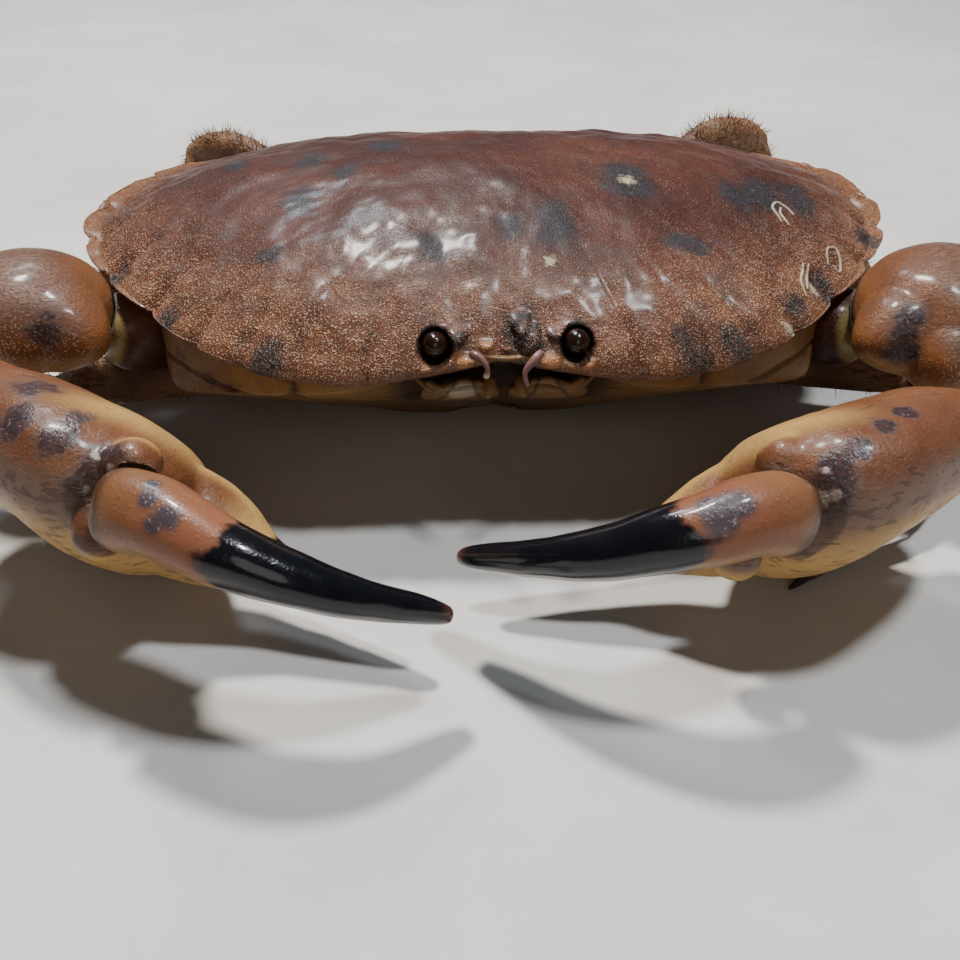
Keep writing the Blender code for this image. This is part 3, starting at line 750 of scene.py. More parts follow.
def finger_material(groups):
    """A brown base that turns salmon, then a glossy black with a ragged start."""
    material, tree = shell_material("finger_shell", coat_roughness=0.08)
    tone = use(tree, groups["mottle"], scale=70.0)
    small = use(tree, groups["granules"], scale=1300.0, cover=0.5)
    slate = use(tree, groups["blotch"], share=painted(tree, "slate"), scale=260.0, ragged=0.45)
    along, black = blackened(tree, 0.10, 0.022)
    warm = maths(tree, "MULTIPLY", tone["Broad"], 0.6)
    night = layered(
        tree,
        blend_colour(tree, warm, (0.0030, 0.0036, 0.0065), (0.0070, 0.0060, 0.0080)),
        # A painted reflection: a grey strip along the lower front edge of the black.
        ("keel", 1.0, (0.11, 0.095, 0.085)),
        ("tip", 1.0, (0.075, 0.028, 0.018)),
    )
    colour = layered(
        tree,
        blend_colour(tree, tone["Broad"], (0.155, 0.070, 0.030), (0.215, 0.108, 0.050)),
        (tone["Middle"], 0.35, (0.115, 0.044, 0.020)),
        (step_up(tree, along, -0.30, -0.05), 0.7, (0.215, 0.075, 0.040)),
        ("cream", 0.8, (0.30, 0.185, 0.082)),
        (slate["Patch"], 0.9, (0.040, 0.036, 0.046)),
        (slate["Specks"], 0.5, (0.30, 0.27, 0.27)),
        (black, 1.0, night),
        # Painted shade at the base of the finger, where it goes into its seat.
        ("crease", 1.0, CREASE_SHADE_BROWN),
    )
    grain = total(tree, (black, -0.38), (1.0, 0.4))
    height = total(tree, (small["Height"], grain), (tone["Fine"], 0.12))
    roughness = total(tree, (black, -0.17), (tone["Middle"], 0.1), (1.0, 0.33))
    return finish_material(material, colour, roughness, height, 0.14, total(tree, (black, 0.3), (1.0, 0.15)))


def arm_material(groups):
    """Dark red-brown arms with a tan strip and yellow skin at the wrist."""
    material, tree = shell_material("arm_shell", 0.2, 0.2)
    tone = use(tree, groups["mottle"], scale=60.0)
    small = use(tree, groups["granules"], scale=1300.0, cover=0.6)
    colour = layered(
        tree,
        blend_colour(tree, tone["Broad"], (0.030, 0.0085, 0.0065), (0.065, 0.020, 0.012)),
        ("tan", 1.0, (0.160, 0.075, 0.028)),
        ("skin", 1.0, (0.24, 0.175, 0.060)),
        (tone["Middle"], 0.3, (0.06, 0.022, 0.014)),
    )
    height = total(tree, (small["Height"], 0.5), (tone["Fine"], 0.3))
    return finish_material(material, colour, total(tree, (tone["Middle"], 0.15), (1.0, 0.34)), height, 0.16)


def leg_material(groups):
    """Tan-brown legs, paler at the joints and dark at the tips."""
    material, tree = shell_material("leg_shell", 0.05, 0.3)
    tone = use(tree, groups["mottle"], scale=70.0)
    small = use(tree, groups["granules"], scale=1100.0, cover=0.6)
    scratch = use(tree, groups["dashes"], scale=1.0, amount=0.6)
    colour = layered(
        tree,
        blend_colour(tree, tone["Broad"], (0.105, 0.048, 0.026), (0.28, 0.155, 0.080)),
        ("cream", 1.0, (0.30, 0.19, 0.09)),
        (tone["Middle"], 0.45, (0.08, 0.032, 0.018)),
        (scratch["Dashes"], 0.6, (0.05, 0.022, 0.014)),
        ("tip", 1.0, (0.035, 0.018, 0.012)),
    )
    height = total(tree, (small["Height"], 0.6), (tone["Fine"], 0.4), (scratch["Dashes"], -0.3))
    return finish_material(material, colour, total(tree, (tone["Middle"], 0.15), (1.0, 0.45)), height, 0.22)


def plain_material(groups, name, dark, light, roughness, coat, depth=0.06):
    """One tone with soft changes and a fine skin, for eyes, feelers, tubes and bristles."""
    material, tree = shell_material(name, coat, 0.06)
    tone = use(tree, groups["mottle"], scale=90.0)
    colour = blend_colour(tree, tone["Broad"], dark, light)
    colour = layered(tree, colour, ("pale", 1.0, (0.50, 0.40, 0.28)))
    height = total(tree, (tone["Middle"], 0.5), (tone["Fine"], 0.4))
    return finish_material(material, colour, total(tree, (tone["Fine"], 0.08), (1.0, roughness)), height, depth)


# Pieces


def degrees_from_mouth(angle):
    return np.degrees(np.abs(np.arctan2(np.cos(angle), -np.sin(angle))))


def lobe_share(degrees):
    """Where each angle lies between two notches of the edge, from -1 to 1. It is 0 where there are none."""
    at = np.zeros_like(degrees)
    for start, end in zip(NOTCHES[:-1], NOTCHES[1:]):
        inside = (degrees >= start) & (degrees <= end)
        at = np.where(inside, 2 * (degrees - start) / (end - start) - 1, at)
    return at


def rim_of(angle):
    """Radius and height of the rim, how near the angle is to a notch, and its degrees from the mouth."""
    degrees = degrees_from_mouth(angle)
    swell_right = RIGHT_SWELL * np.where(np.cos(angle) > 0, hump(degrees - 114, 18), 0)
    radius = through(OUTLINE, degrees) + swell_right
    return radius, through(RIM_HEIGHT, degrees), np.abs(lobe_share(degrees)), degrees


def packed_round(angle):
    """The same turn with more of its points along the face."""
    degrees = degrees_from_mouth(angle)
    turn = np.radians(np.interp(degrees, *zip(*SPACING)))
    return np.arctan2(-np.cos(turn), np.sign(np.cos(angle) + 1e-9) * np.sin(turn))


def swellings(x, y):
    return sum(
        height * np.exp(-(((x - cx) / wide) ** 2) - ((y - cy) / deep) ** 2)
        for cx, cy, wide, deep, height in MOUNDS
    )


def carapace_place(angle, share):
    angle = packed_round(angle)
    radius, rim, lobe, degrees = rim_of(angle)
    over = np.clip((share - 0.3) / 0.7, 0, 1)
    under = np.clip(1 - share / 0.3, 0, 1)
    top = share >= 0.3
    reach = np.where(top, np.cos(over * math.pi / 2), np.cos(under * math.pi / 2))
    front = 0.5 + 0.5 * np.cos(np.radians(degrees))
    fullness = 2.0 + 0.5 * front
    brim = BRIM * hump(degrees - 115, 32)
    rise = (1 - np.clip(reach / (1 - brim), 0, 1) ** fullness) ** (0.9 - 0.17 * front)
    edge = np.clip((reach - 0.86) / 0.14, 0, 1)
    notch = lobe**5
    crown = 0.35 * (1 - lobe**2) * (lobe > 0)
    spread = radius * reach + (crown - NOTCH_DEPTH * notch) * edge**2
    x = np.cos(angle) * spread
    y = np.sin(angle) * spread
    furrow = -0.5 * hump(reach - 0.955, 0.018) * (lobe > 0)
    dome = rim + (SHELL_TOP - rim) * rise + swellings(x, y) * rise
    dome = dome + (furrow - NOTCH_GROOVE * lobe**6) * edge**1.5
    turned = np.clip((1 - reach) / 0.04, 0, 1) ** 0.5
    floor = rim - SHELL_RIM * turned
    hollow = np.clip((0.94 - reach) / 0.94, 0, 1) ** 0.7
    floor = floor + (SHELL_SINK - floor) * hollow
    return np.stack([x, y, np.where(top, dome, floor)], axis=-1)


def grow_knob(points, centre, radius):
    """Pulls the face forwards over a ball, so that the ball bulges out of it."""
    away = np.hypot(points[:, 0] - centre[0], points[:, 2] - centre[2]) / radius
    behind = (points[:, 1] - centre[1]) / radius
    dome = np.sqrt(np.clip(1 - away**2, 0, 1)) * smooth((1 - away) / 0.35)
    near = smooth((1.7 - behind) / 0.7) * (points[:, 1] < FACE_BACK) * smooth((points[:, 2] - 37.6) / 1.2)
    points[:, 1] -= KNOB_FORWARD * radius * dome * near
    points[:, 2] += KNOB_UP * radius * dome * near


def press_sockets(points):
    """Pushes the face in around both eyes. The result is how far each place is from a socket's middle, in radii."""
    x, y, z = EYE
    away = np.min([np.hypot(points[:, 0] - (FACE_MIDDLE + sign * x), points[:, 2] - z) for sign in (-1, 1)], axis=0)
    away = np.where((points[:, 1] < FACE_BACK) & (points[:, 2] > 38), away / SOCKET_RADIUS, 9)
    wall = y + SOCKET_DEPTH * np.sqrt(np.clip(1 - away**3, 0, 1))
    points[:, 1] = np.where(away < 1, np.maximum(points[:, 1], wall), points[:, 1])
    return away


def on_shell(points):
    """How far out towards the rim each place lies, how near to a notch, and its angle from the mouth."""
    radius, _, lobe, degrees = rim_of(np.arctan2(points[:, 1], points[:, 0]))
    return np.hypot(points[:, 0], points[:, 1]) / radius, lobe, degrees


def make_carapace(material):
    points, faces = closed_grid(600, 130, carapace_place)
    carapace = new_object("carapace_shell", points, faces)
    relief = 0.7 * lumps(points, 14.0, 9.0) + 0.4 * lumps(points, 6.0) + 0.16 * lumps(points, 2.6, 5.0) - 0.2
    reach, lobe, degrees = on_shell(points)
    folds = (0.9 * lobe**4 - 0.25) * (lobe > 0) * smooth((reach - 0.62) / 0.3) * smooth((135 - degrees) / 20)
    swell(carapace, relief * smooth((points[:, 2] - 38) / 5) - 0.9 * folds * smooth((points[:, 2] - 37) / 5))
    points = read_points(carapace)
    for *centre, radius in SLATE_KNOBS + ORANGE_KNOBS:
        grow_knob(points, centre, radius)
    away = press_sockets(points)
    write_points(carapace, points)
    reach, _, degrees = on_shell(points)
    towards_face = smooth((0.5 - 0.5 * np.cos(np.radians(degrees - 180))) * 1.2 * reach + 0.15 * reach - 0.2)
    low = smooth((57 - points[:, 2]) / 13)
    slate_knobs = spot_share(points, np.array(SLATE_KNOBS) * (1, 1, 1, 1.35))
    orange_knobs = spot_share(points, np.array(ORANGE_KNOBS) * (1, 1, 1, 1.6))
    paint(
        carapace,
        front=np.clip(0.03 + 1.1 * towards_face * low + 0.12 * smooth((reach - 0.86) / 0.1), 0, 1),
        brim=smooth((reach - 0.93) / 0.07) * (0.45 + 0.55 * smooth((degrees - 60) / 50)),
        slate=np.maximum(flat_spot_share(points, SLATE_ON_BACK), slate_knobs),
        chalk=flat_spot_share(points, CHALK_ON_BACK),
        orange=smooth(orange_knobs * 2.5),
        shade=smooth((1.1 - away) / 0.12),
    )
    dress(carapace, material, "carapace_shell", "carapace")
    return carapace


def make_worm_tubes(carapace, material):
    """Thin chalky tubes that lie on the back."""
    bpy.context.view_layer.update()
    size = (0.24, 0.34, 0.28)
    shapes = []
    for tube in WORM_TUBES:
        places, _ = centre_line([(x, y, 0) for x, y in tube], np.linspace(0, 1, 24))
        line = []
        for x, y, _ in places:
            _, hit, _, _ = carapace.ray_cast(Vector((x * MM, y * MM, 0.2)), Vector((0, 0, -1)))
            line.append((x, y, hit.z / MM + 0.05))
        shapes.append(limb((10, 70), line, size, size, (0, 0, 1), 12.0, 1.0))
    dress(fuse("worm_tubes", shapes, 0.15, 1), material, "carapace_shell")


def body_place(angle, share):
    radius, rim, _, degrees = rim_of(angle)
    outline = through(BODY_OUTLINE, degrees)
    belly = through(BELLY, degrees)
    turn = through(FLANK_TURN, degrees)
    flat = np.clip(share / 0.15, 0, 1)
    height = np.clip((share - 0.15) / 0.6, 0, 1)
    lid = np.clip((share - 0.75) / 0.25, 0, 1)
    flank = belly + (outline - belly) * np.clip(height / turn, 0, 1)
    spread = np.where(share < 0.15, belly * flat, np.where(lid > 0, outline * (1 - lid), flank))

    def ceiling(distance):
        top = rim - SHELL_RIM - SHELL_GAP
        hollow = np.clip((0.94 - distance / radius) / 0.94, 0, 1) ** 0.7
        return top + (SHELL_SINK - SHELL_GAP - top) * hollow

    z = np.where(lid > 0, ceiling(spread), height * ceiling(outline))
    return np.stack([np.cos(angle) * spread, np.sin(angle) * spread, z], axis=-1)


def body_creases(points):
    """How deep each place lies in the seams of the flanks and between the plates of the belly."""
    x, y, z = points.T
    degrees = degrees_from_mouth(np.arctan2(y, x))
    side = np.abs(x)
    upright = hump(degrees - 42 - 3 * np.sin(z * 0.35), 0.9) * smooth((z - 12) / 6) * smooth((36 - z) / 3)
    level = hump(z - 27 - 0.06 * (degrees - 40), 0.5) * smooth((degrees - 24) / 6) * smooth((74 - degrees) / 5)
    plates = hump(y + 12 - 13 * np.round((y + 12) / 13) + 0.12 * (side - 12), 0.6) * (side > 12)
    flap_edge = np.interp(y, (-22, 30), (3.5, 12))
    flap = hump(side - flap_edge, 0.55) * (y > -24)
    rings = hump(y - 6 * np.round(y / 6), 0.45) * (side < flap_edge) * (y > -22)
    return np.clip(upright + level + smooth((3.5 - z) / 3) * (plates + flap + rings), 0, 1)


def make_underbody(material):
    points, faces = closed_grid(360, 120, body_place)
    underbody = new_object("underbody_shell", points, faces)
    x, y, z = points.T
    creases = body_creases(points)
    # Painted shade over the front of the underbody, behind and below the mouth plates.
    mouth = smooth((25 - np.abs(x - FACE_MIDDLE)) / 6) * smooth((z - 12) / 6) * (y < -20)
    relief = 0.25 * lumps(points, 8.0) * smooth((z - 1) / 4) * smooth((35 - z) / 2)
    swell(underbody, np.minimum(relief, 0.25) - 0.75 * creases)
    points = keep_above(underbody, 0.0)
    # The seams are darkened, partly their own colour and partly painted shade, and the front takes its painted shade.
    paint(underbody, slate=spot_share(points, SLATE_ON_FLANK), crease=np.clip(creases + mouth, 0, 1))
    dress(underbody, material, "body_cream", "underbody")


def wrist_shapes(pose, spare):
    """The plates that a wrist is fused from, larger all round by the spare millimetres."""
    heart = np.array(pose["wrist"], float)
    size = np.array(pose["wrist_size"], float) + spare
    shapes = [ball(heart, size, 60, 40)]
    for end, radius in ((pose["point"], POINT_SIZE), (pose["hinge"], pose["hinge_size"])):
        end = np.array(end, float)
        broad = (13 + spare, 10 + spare, radius + spare)
        deep = (11 + spare, 9.5 + spare, radius + spare)
        line = (heart, (heart + end) / 2, end + unit(end - heart) * spare)
        shapes.append(limb((48, 32), line, broad, deep, (0, 0, 1), 2.4))
    return shapes


def make_arm(side, pose, material):
    plate = limb((48, 36), pose["arm"], ARM["wide"], ARM["tall"], (0, -0.3, 1), 4.0, 0.8)
    arm = fuse(f"arm_{side}", [plate], 0.6)
    carve(arm, wrist_shapes(pose, 0.45))
    points = read_points(arm)
    along, _ = line_share(points, pose["arm"])
    strip = smooth((points[:, 2] - 31) / 4) if side == "left" else smooth((read_normals(arm)[:, 0] - 0.1) / 0.4)
    paint(arm, skin=smooth((along - 0.90) / 0.06), tan=0.7 * strip)
    dress(arm, material, "arm_shell", f"claw_arm_{side}")


def make_wrist(side, pose, material):
    wrist = fuse(f"wrist_{side}", wrist_shapes(pose, 0.0), 0.65, 6)
    points = read_points(wrist)
    swell(wrist, 0.25 * lumps(points, 7.0, 3.0) - 0.15)
    normals = read_normals(wrist)
    upward = smooth((normals[:, 2] - 0.2) / 0.6)
    inward = smooth((-SIGN[side] * normals[:, 0] - 0.1) / 0.5)
    paint(
        wrist,
        slate=spot_share(points, SLATE_ON_WRIST[side]),
        chalk=NONE,
        black=NONE,
        scratched=0.15 + 0.75 * upward,
        rows=0.9 * upward,
        granular=np.clip(1.0 - 0.8 * upward - 0.6 * inward, 0, 1),
        orange=np.clip(0.75 * inward + 0.45 * (1 - upward), 0, 0.9),
        mauve=0.35 * upward * (1 - inward),
        cream=0.4 * smooth((-normals[:, 2] - 0.1) / 0.5),
    )
    dress(wrist, material, "claw_shell", f"claw_wrist_{side}")


def make_palm(side, pose, material):
    """The palm with its fixed finger and the round lobes that the moving finger hinges between."""
    back = np.array(pose["back"])
    shapes = [
        limb((90, 60), pose["palm"], PALM["wide"], PALM["tall"], back, 3.2, 0.9),
        limb((60, 60), pose["thumb"], THUMB["wide"], THUMB["tall"], back, 5.0, 0.95),
    ]
    shapes += [ball(heart, radius) for *heart, radius in pose["lobes"]]
    palm = fuse(f"palm_{side}", shapes, 0.62, 4)
    seat = limb((60, 60), pose["finger"], FINGER["wide"], FINGER["tall"], back, (10.0, 5.0), 0.9, 0.7)
    carve(palm, [seat] + wrist_shapes(pose, 0.5))
    points = read_points(palm)
    normals = read_normals(palm)
    swell(palm, 0.3 * lumps(points, 9.0, 7.0) + 0.12 * lumps(points, 3.0, 2.0) - 0.2)
    outward = smooth((-normals[:, 1] - 0.35) / 0.4) * smooth((0.75 - normals[:, 2]) / 0.5)
    inner = smooth((normals[:, 1] + 0.1) / 0.5) * smooth((normals[:, 2] - 0.1) / 0.4)
    below = smooth((-normals[:, 2] + 0.05) / 0.5)
    palm_along, _ = line_share(points, pose["palm"])
    thumb_along, from_thumb = line_share(points, pose["thumb"])
    from_seat = section_share(points, pose["finger"], FINGER, back)
    cream = below + 0.9 * inner * smooth((palm_along - 0.5) / 0.25) + smooth((thumb_along - 0.2) / 0.2)
    paint(
        palm,
        slate=spot_share(points, SLATE_ON_PALM[side]),
        chalk=spot_share(points, CHALK_ON_PALM[side]),
        # Painted shade on the wall of the seat round the moving finger.
        crease=0.6 * smooth((1.15 - from_seat) / 0.06),
        scratched=np.clip(0.1 + 0.5 * outward + 0.45 * inner * (1 - smooth((palm_along - 0.5) / 0.2)), 0, 1),
        granular=0.12,
        black=np.where(from_thumb < 9, thumb_along - THUMB_BLACK_FROM, NONE),
        orange=np.clip(0.8 * inner * (1 - palm_along) + 0.3 * smooth((palm_along - 0.6) / 0.2), 0, 1),
        mauve=0.85 * outward,
        cream=np.clip(cream, 0, 1),
    )
    dress(palm, material, "claw_shell", f"claw_palm_{side}")


def make_finger(side, pose, material):
    wide, tall = (*FINGER["wide"][:-1], 2.6), (*FINGER["tall"][:-1], 3.0)
    shape = limb((90, 110), pose["finger"], wide, tall, np.array(pose["back"]), (9.0, 4.5), 0.9)
    finger = new_object(f"finger_{side}", *shape)
    points = read_points(finger)
    normals = read_normals(finger)
    along, _ = line_share(points, pose["finger"])
    swell(finger, 0.2 * lumps(points, 6.0, 4.0) - 0.1)
    upward = smooth((normals[:, 2] - 0.45) / 0.4)
    downward = smooth((-normals[:, 2] - 0.1) / 0.5)
    face, top, bottom = BLACK_FROM[side]
    # A painted reflection along the lower front edge of the finger, where its faces turn down and forwards.
    keel = 0.7 * hump(normals[:, 2] + 0.66, 0.16) * (normals[:, 1] < 0)
    paint(
        finger,
        slate=spot_share(points, SLATE_ON_FINGER[side]),
        black=along - (face + (top - face) * upward + (bottom - face) * downward),
        tip=0.8 * smooth((along - 0.93) / 0.06),
        keel=keel * smooth((0.95 - along) / 0.2),
        cream=downward,
        # Painted shade where the finger goes into its seat.
        crease=0.85 * smooth((0.07 - along) / 0.04),
    )
    dress(finger, material, "finger_shell", f"claw_finger_{side}")


def heading_step(length, heading, pitch, sign):
    level = length * math.cos(math.radians(pitch))
    across = sign * level * math.cos(math.radians(heading))
    along = level * math.sin(math.radians(heading))
    return np.array((across, along, length * math.sin(math.radians(pitch))))


def leg_joints(side, leg):
    """The ends of the four segments of a leg, from the body to the tip, and the size of the leg."""
    (x, y, z), headings, pitches, size = LEGS[side][leg]
    sign = SIGN[side]
    joints = [np.array((sign * x, y, z), float)]
    for length, heading, pitch in zip(LEG_LENGTHS, headings, pitches):
        joints.append(joints[-1] + heading_step(length * size, heading, pitch, sign))
    length = LEG_LENGTHS[-1] * size
    drop = min((joints[-1][2] - TIP_HEIGHT) / length, 0.98)
    joints.append(joints[-1] + heading_step(length, headings[-1], -math.degrees(math.asin(drop)), sign))
    return joints, size


def make_leg(side, leg, material):
    joints, size = leg_joints(side, leg)
    shapes = []
    for number in range(4):
        start, end = joints[number], joints[number + 1]
        along = unit(end - start)
        lift = np.array((0, 0, 1.0 if number == 0 else 0.0))
        wide = np.array(LEG_WIDE[number]) * size
        tall = np.array(LEG_TALL[number]) * size
        upright = (0, 0, 1) if abs(along[2]) < 0.8 else (0, 1, 0.2)
        line = (start - along * 0.5, (start + end) / 2 + lift, end + along * 0.5)
        shapes.append(limb((36, 36), line, wide, tall, upright, 5.0, 0.95))
        if number:
            shapes.append(ball(start, 0.8 * size * LEG_TALL[number][0], 24, 16))
    shell = fuse(f"leg_{leg + 1}_{side}_shell", shapes, 0.62, 4)
    swell(shell, 0.22 * lumps(read_points(shell), 4.0, leg) - 0.12)
    points = keep_above(shell, 0.25)
    near_joint = spot_share(points, [(*joint, 6.0 * size) for joint in joints[1:4]])
    toe = np.linalg.norm(points - joints[4], axis=1)
    up = read_normals(shell)[:, 2]
    crest = 0.9 * smooth((up - 0.1) / 0.5) * smooth((points[:, 2] - 3) / 3) * smooth((toe - 6) / 6)
    paint(
        shell,
        cream=0.7 * smooth(near_joint * 1.6),
        tip=smooth((9 - toe) / 6),
        bristly=np.clip(0.12 * (points[:, 2] > 4) + crest, 0, 1),
    )
    dress(shell, material, "leg_shell", f"leg_{leg + 1}_{side}")
    return shell


def bristle_tree(material):
    """Stiff short hairs, three-sided, that stand on a shell where its bristly paint is high."""
    tree = bpy.data.node_groups.new("bristles", "GeometryNodeTree")
    tree.interface.new_socket(name="Geometry", in_out="INPUT", socket_type="NodeSocketGeometry")
    for label, kind, value in (("Density", "Float", 100000.0), ("Length", "Float", 0.0016), ("Seed", "Int", 1)):
        socket = tree.interface.new_socket(name=label, in_out="INPUT", socket_type=f"NodeSocket{kind}")
        socket.default_value = value
    tree.interface.new_socket(name="Geometry", in_out="OUTPUT", socket_type="NodeSocketGeometry")
    given = put(tree, "NodeGroupInput").outputs
    seed = given["Seed"]
    named = put(tree, "GeometryNodeInputNamedAttribute", {"data_type": "FLOAT"}, {"Name": "bristly"})
    density = maths(tree, "MULTIPLY", named.outputs["Attribute"], given["Density"])
    spread = put(tree, "GeometryNodeDistributePointsOnFaces", {"distribute_method": "RANDOM"},
                 {"Mesh": given["Geometry"], "Density": density, "Seed": seed})
    lean = put(tree, "FunctionNodeRandomValue", {"data_type": "FLOAT_VECTOR"},
               {0: (-0.7, -0.7, -0.7), 1: (0.7, 0.7, 0.7), "Seed": seed}).outputs[0]
    aim = put(tree, "ShaderNodeVectorMath", {"operation": "ADD"}, {0: spread.outputs["Normal"], 1: lean}).outputs[0]
    turn = put(tree, "FunctionNodeAlignRotationToVector", {"axis": "Z"}, {"Vector": aim}).outputs[0]
    cone = {"Vertices": 3, "Radius Top": 0.00002, "Radius Bottom": 0.00011, "Depth": given["Length"]}
    hair = put(tree, "GeometryNodeMeshCone", None, cone).outputs["Mesh"]
    sizes = {2: 0.45, 3: 1.25, "Seed": seed}
    scale = put(tree, "FunctionNodeRandomValue", {"data_type": "FLOAT"}, sizes).outputs[1]
    hairs = put(tree, "GeometryNodeInstanceOnPoints", None,
                {"Points": spread.outputs["Points"], "Instance": hair, "Rotation": turn, "Scale": scale})
    real = put(tree, "GeometryNodeRealizeInstances", None, {"Geometry": hairs.outputs[0]}).outputs[0]
    coloured = put(tree, "GeometryNodeSetMaterial", None, {"Geometry": real, "Material": material}).outputs[0]
    feed(tree, put(tree, "NodeGroupOutput").inputs[0], coloured)
    return tree


def grow_bristles(shell, leg, tree, material):
    """A piece of bristles over the bristly paint of a leg."""
    obj = bpy.data.objects.new(f"{shell.name}_bristles", shell.data.copy())
    bpy.context.scene.collection.objects.link(obj)
    modifier = obj.modifiers.new("bristles", "NODES")
    modifier.node_group = tree
    values = {"Density": BRISTLE_DENSITY[leg], "Length": BRISTLE_LENGTH, "Seed": leg + 1}
    for item in tree.interface.items_tree:
        if item.in_out == "INPUT" and item.name in values:
            modifier[item.identifier] = values[item.name]
    settle(obj)
    dress(obj, material, "leg_shell")


def make_eye(side, material):
    x, y, z = EYE
    radii = (EYE_RADIUS, EYE_RADIUS * 1.1, EYE_RADIUS)
    eye = new_object(f"eyeball_{side}", *ball((FACE_MIDDLE + SIGN[side] * x, y + 1.0, z), radii))
    dress(eye, material, "eye_black", f"eye_{side}")


def make_feeler(side, material):
    line = FEELERS[side]
    sizes = FEELER_SIZES[side]
    feeler = fuse(f"feeler_{side}_stalk", [limb((14, 60), line, sizes, sizes, (0, 1, 0.2), 6.0, 1.0)], 0.16, 2)
    along, _ = line_share(read_points(feeler), line)
    paint(feeler, pale=smooth((along - 0.78) / 0.15) * (side == "left"))
    dress(feeler, material, "feeler_pink", f"feeler_{side}")


def make_mouth_bar(material):
    bar = limb((24, 60), MOUTH_BAR, (0.7, 0.8, 0.7), (0.4, 0.5, 0.4), (0, 0, 1), 6.0, 0.8)
    bar = fuse("mouth_bar", [bar], 0.18, 2)
    # The whole bar is darkened evenly with the crease and shade tone.
    paint(bar, slate=NONE, crease=0.45)
    dress(bar, material, "body_cream")


def make_mouth_plate(side, material):
    """A thin plate with a raised edge, an inner palp and an outer strip."""
    mirror = (SIGN[side], 1, 1)
    middle = np.array((FACE_MIDDLE, 0, 0))
    line = np.array(MOUTH_PLATE) * mirror + middle
    shapes = [limb((64, 48), line, (8.2, 7.4, 6.0), (1.5, 1.6, 1.5), (0, -1, -0.6), 5.0, 0.7)]
    for line, size in MOUTH_TRIM:
        shapes.append(limb((16, 40), np.array(line) * mirror + middle, size, size, (0, 1, 0.3), 6.0, 1.0))
    piece = fuse(f"mouth_plate_{side}_shell", shapes, 0.28, 2)
    points = read_points(piece)
    swell(piece, 0.14 * lumps(points, 2.0, 1.0))
    away = np.abs(points[:, 0] - FACE_MIDDLE)
    up = points[:, 2] - 32
    lines = hump(away - 5.6 - 0.25 * up, 0.35) + hump(away - 11.2 + 0.5 * up, 0.35)
    under = smooth((29.5 - points[:, 2]) / 3)
    patch = smooth((4.0 - np.linalg.norm(points - PALE_PATCH, axis=1)) / 1.5)
    # Darkened with the crease and shade tone: along its two raised lines, towards its lower edge as painted shade, and
    # a little all over.
    paint(piece, slate=NONE, crease=np.clip(0.8 * lines + 0.7 * under + 0.3, 0, 1), pale=0.9 * patch)
    dress(piece, material, "body_cream", f"mouth_plate_{side}")


def make_floor():
    bpy.ops.mesh.primitive_plane_add(size=6, location=(0, 0, 0))
    floor = bpy.context.object
    floor.name = "floor"
    material = bpy.data.materials.new("pale_floor")
    material.use_nodes = True
    tree = material.node_tree
    surface = tree.nodes["Principled BSDF"]
    tone = cloud(tree, object_place(tree), 9.0, 6.0, 0.65)
    colour = blend_colour(tree, step_up(tree, tone, 0.3, 0.7), (0.50, 0.48, 0.455), (0.60, 0.585, 0.56))
    feed(tree, surface.inputs["Base Color"], colour)
    surface.inputs["Roughness"].default_value = 0.6
    floor.data.materials.append(material)


def add_light(name, place, aim, size, power, colour):
    light = bpy.data.lights.new(name, "AREA")
    light.shape = "DISK"
    light.size = size
    light.energy = power
    light.color = colour
    obj = bpy.data.objects.new(name, light)
    obj.location = place
    obj.rotation_mode = "QUATERNION"
    obj.rotation_quaternion = (Vector(aim) - Vector(place)).to_track_quat("-Z", "Y")
    bpy.context.scene.collection.objects.link(obj)


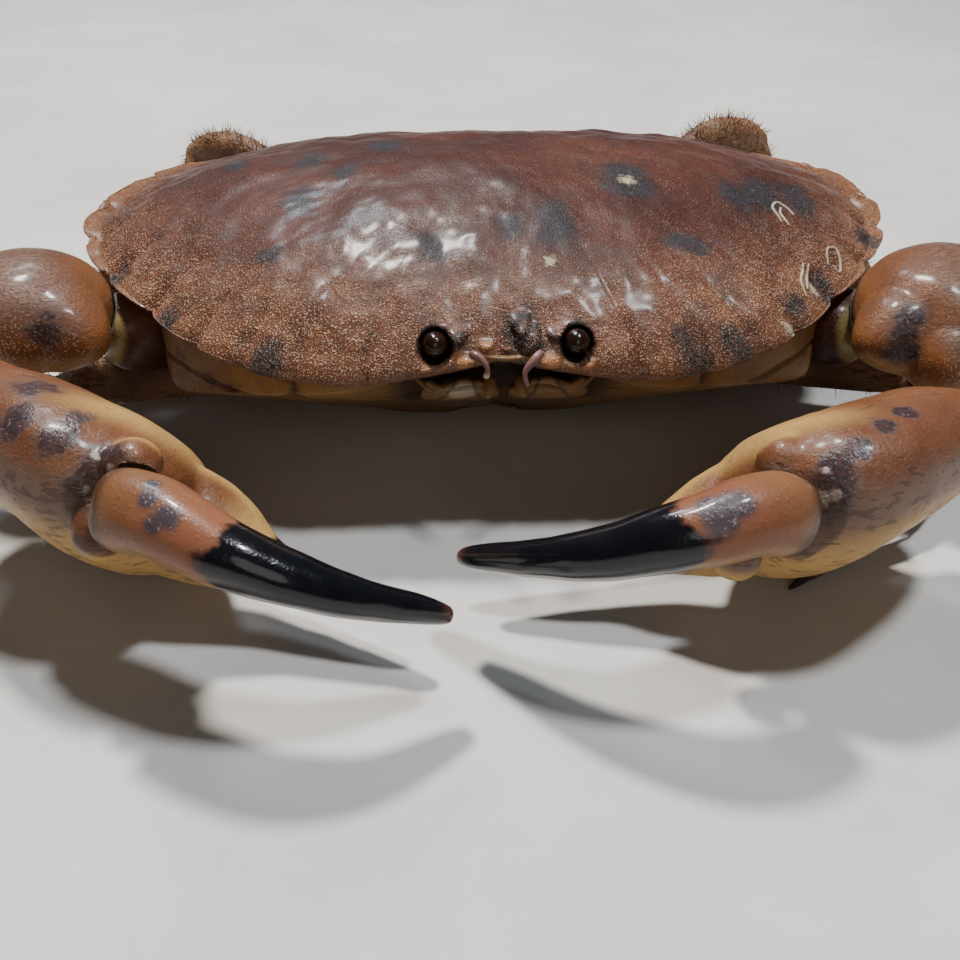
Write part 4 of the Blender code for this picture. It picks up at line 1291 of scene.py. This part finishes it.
def make_studio():
    aim = Vector((0, -0.03, 0.02))
    for name, way, far, size, power, colour in (
        ("key", (-0.16, 0.34, 0.92), 1.1, 0.13, 19.0, (1.0, 0.95, 0.90)),
        ("second", (0.25, -0.10, 0.96), 1.1, 0.13, 10.5, (0.92, 0.96, 1.0)),
        ("window", (-0.25, 0.61, 0.76), 1.4, 0.22, 4.5, (0.72, 0.86, 1.0)),
        ("front", (0.05, -0.85, 0.50), 1.6, 0.8, 2.6, (1.0, 0.96, 0.92)),
    ):
        add_light(name, aim + Vector(way).normalized() * far, aim, size, power, colour)
    world = bpy.data.worlds.new("soft_room")
    world.use_nodes = True
    world.node_tree.nodes["Background"].inputs[0].default_value = (0.90, 0.93, 1.0, 1.0)
    world.node_tree.nodes["Background"].inputs[1].default_value = 0.06
    bpy.context.scene.world = world


def make_camera():
    camera = bpy.data.objects.new("camera", bpy.data.cameras.new("camera"))
    camera.data.sensor_width = 36.0
    camera.data.lens = 36.0 * 1159.0 / 960.0
    camera.data.clip_start = 0.01
    turn = Matrix.Rotation(math.radians(-2.5), 4, "Z")
    tilt = Matrix.Rotation(math.radians(90 - 33.7), 4, "X")
    camera.matrix_world = Matrix.Translation(Vector((-12.57, -248.99, 142.0)) * MM) @ turn @ tilt
    bpy.context.scene.collection.objects.link(camera)
    bpy.context.scene.camera = camera


def main():
    groups = {"granules": granule_group(), "blotch": blotch_group(), "mottle": mottle_group(), "dashes": dash_group()}
    claw, arm, finger = claw_material(groups), arm_material(groups), finger_material(groups)
    leg_shell, body = leg_material(groups), body_material(groups)
    eye = plain_material(groups, "eye_black", (0.003, 0.002, 0.002), (0.035, 0.012, 0.006), 0.16, 0.3, 0.05)
    tube = plain_material(groups, "worm_tube", (0.28, 0.215, 0.14), (0.42, 0.35, 0.255), 0.5, 0.1)
    bristle = plain_material(groups, "bristle", (0.10, 0.045, 0.018), (0.32, 0.19, 0.08), 0.5, 0.1)
    pink = plain_material(groups, "feeler_pink", (0.115, 0.050, 0.045), (0.21, 0.115, 0.10), 0.4, 0.2)

    make_worm_tubes(make_carapace(carapace_material(groups)), tube)
    make_underbody(body)
    for side in SIGN:
        make_eye(side, eye)
        make_mouth_plate(side, body)
        make_feeler(side, pink)
    make_mouth_bar(body)
    bristles = bristle_tree(bristle)
    for side, pose in CLAWS.items():
        make_arm(side, pose, arm)
        make_wrist(side, pose, claw)
        make_palm(side, pose, claw)
        make_finger(side, pose, finger)
        for leg in range(4):
            grow_bristles(make_leg(side, leg, leg_shell), leg, bristles, bristle)
    make_floor()
    make_studio()
    make_camera()


main()
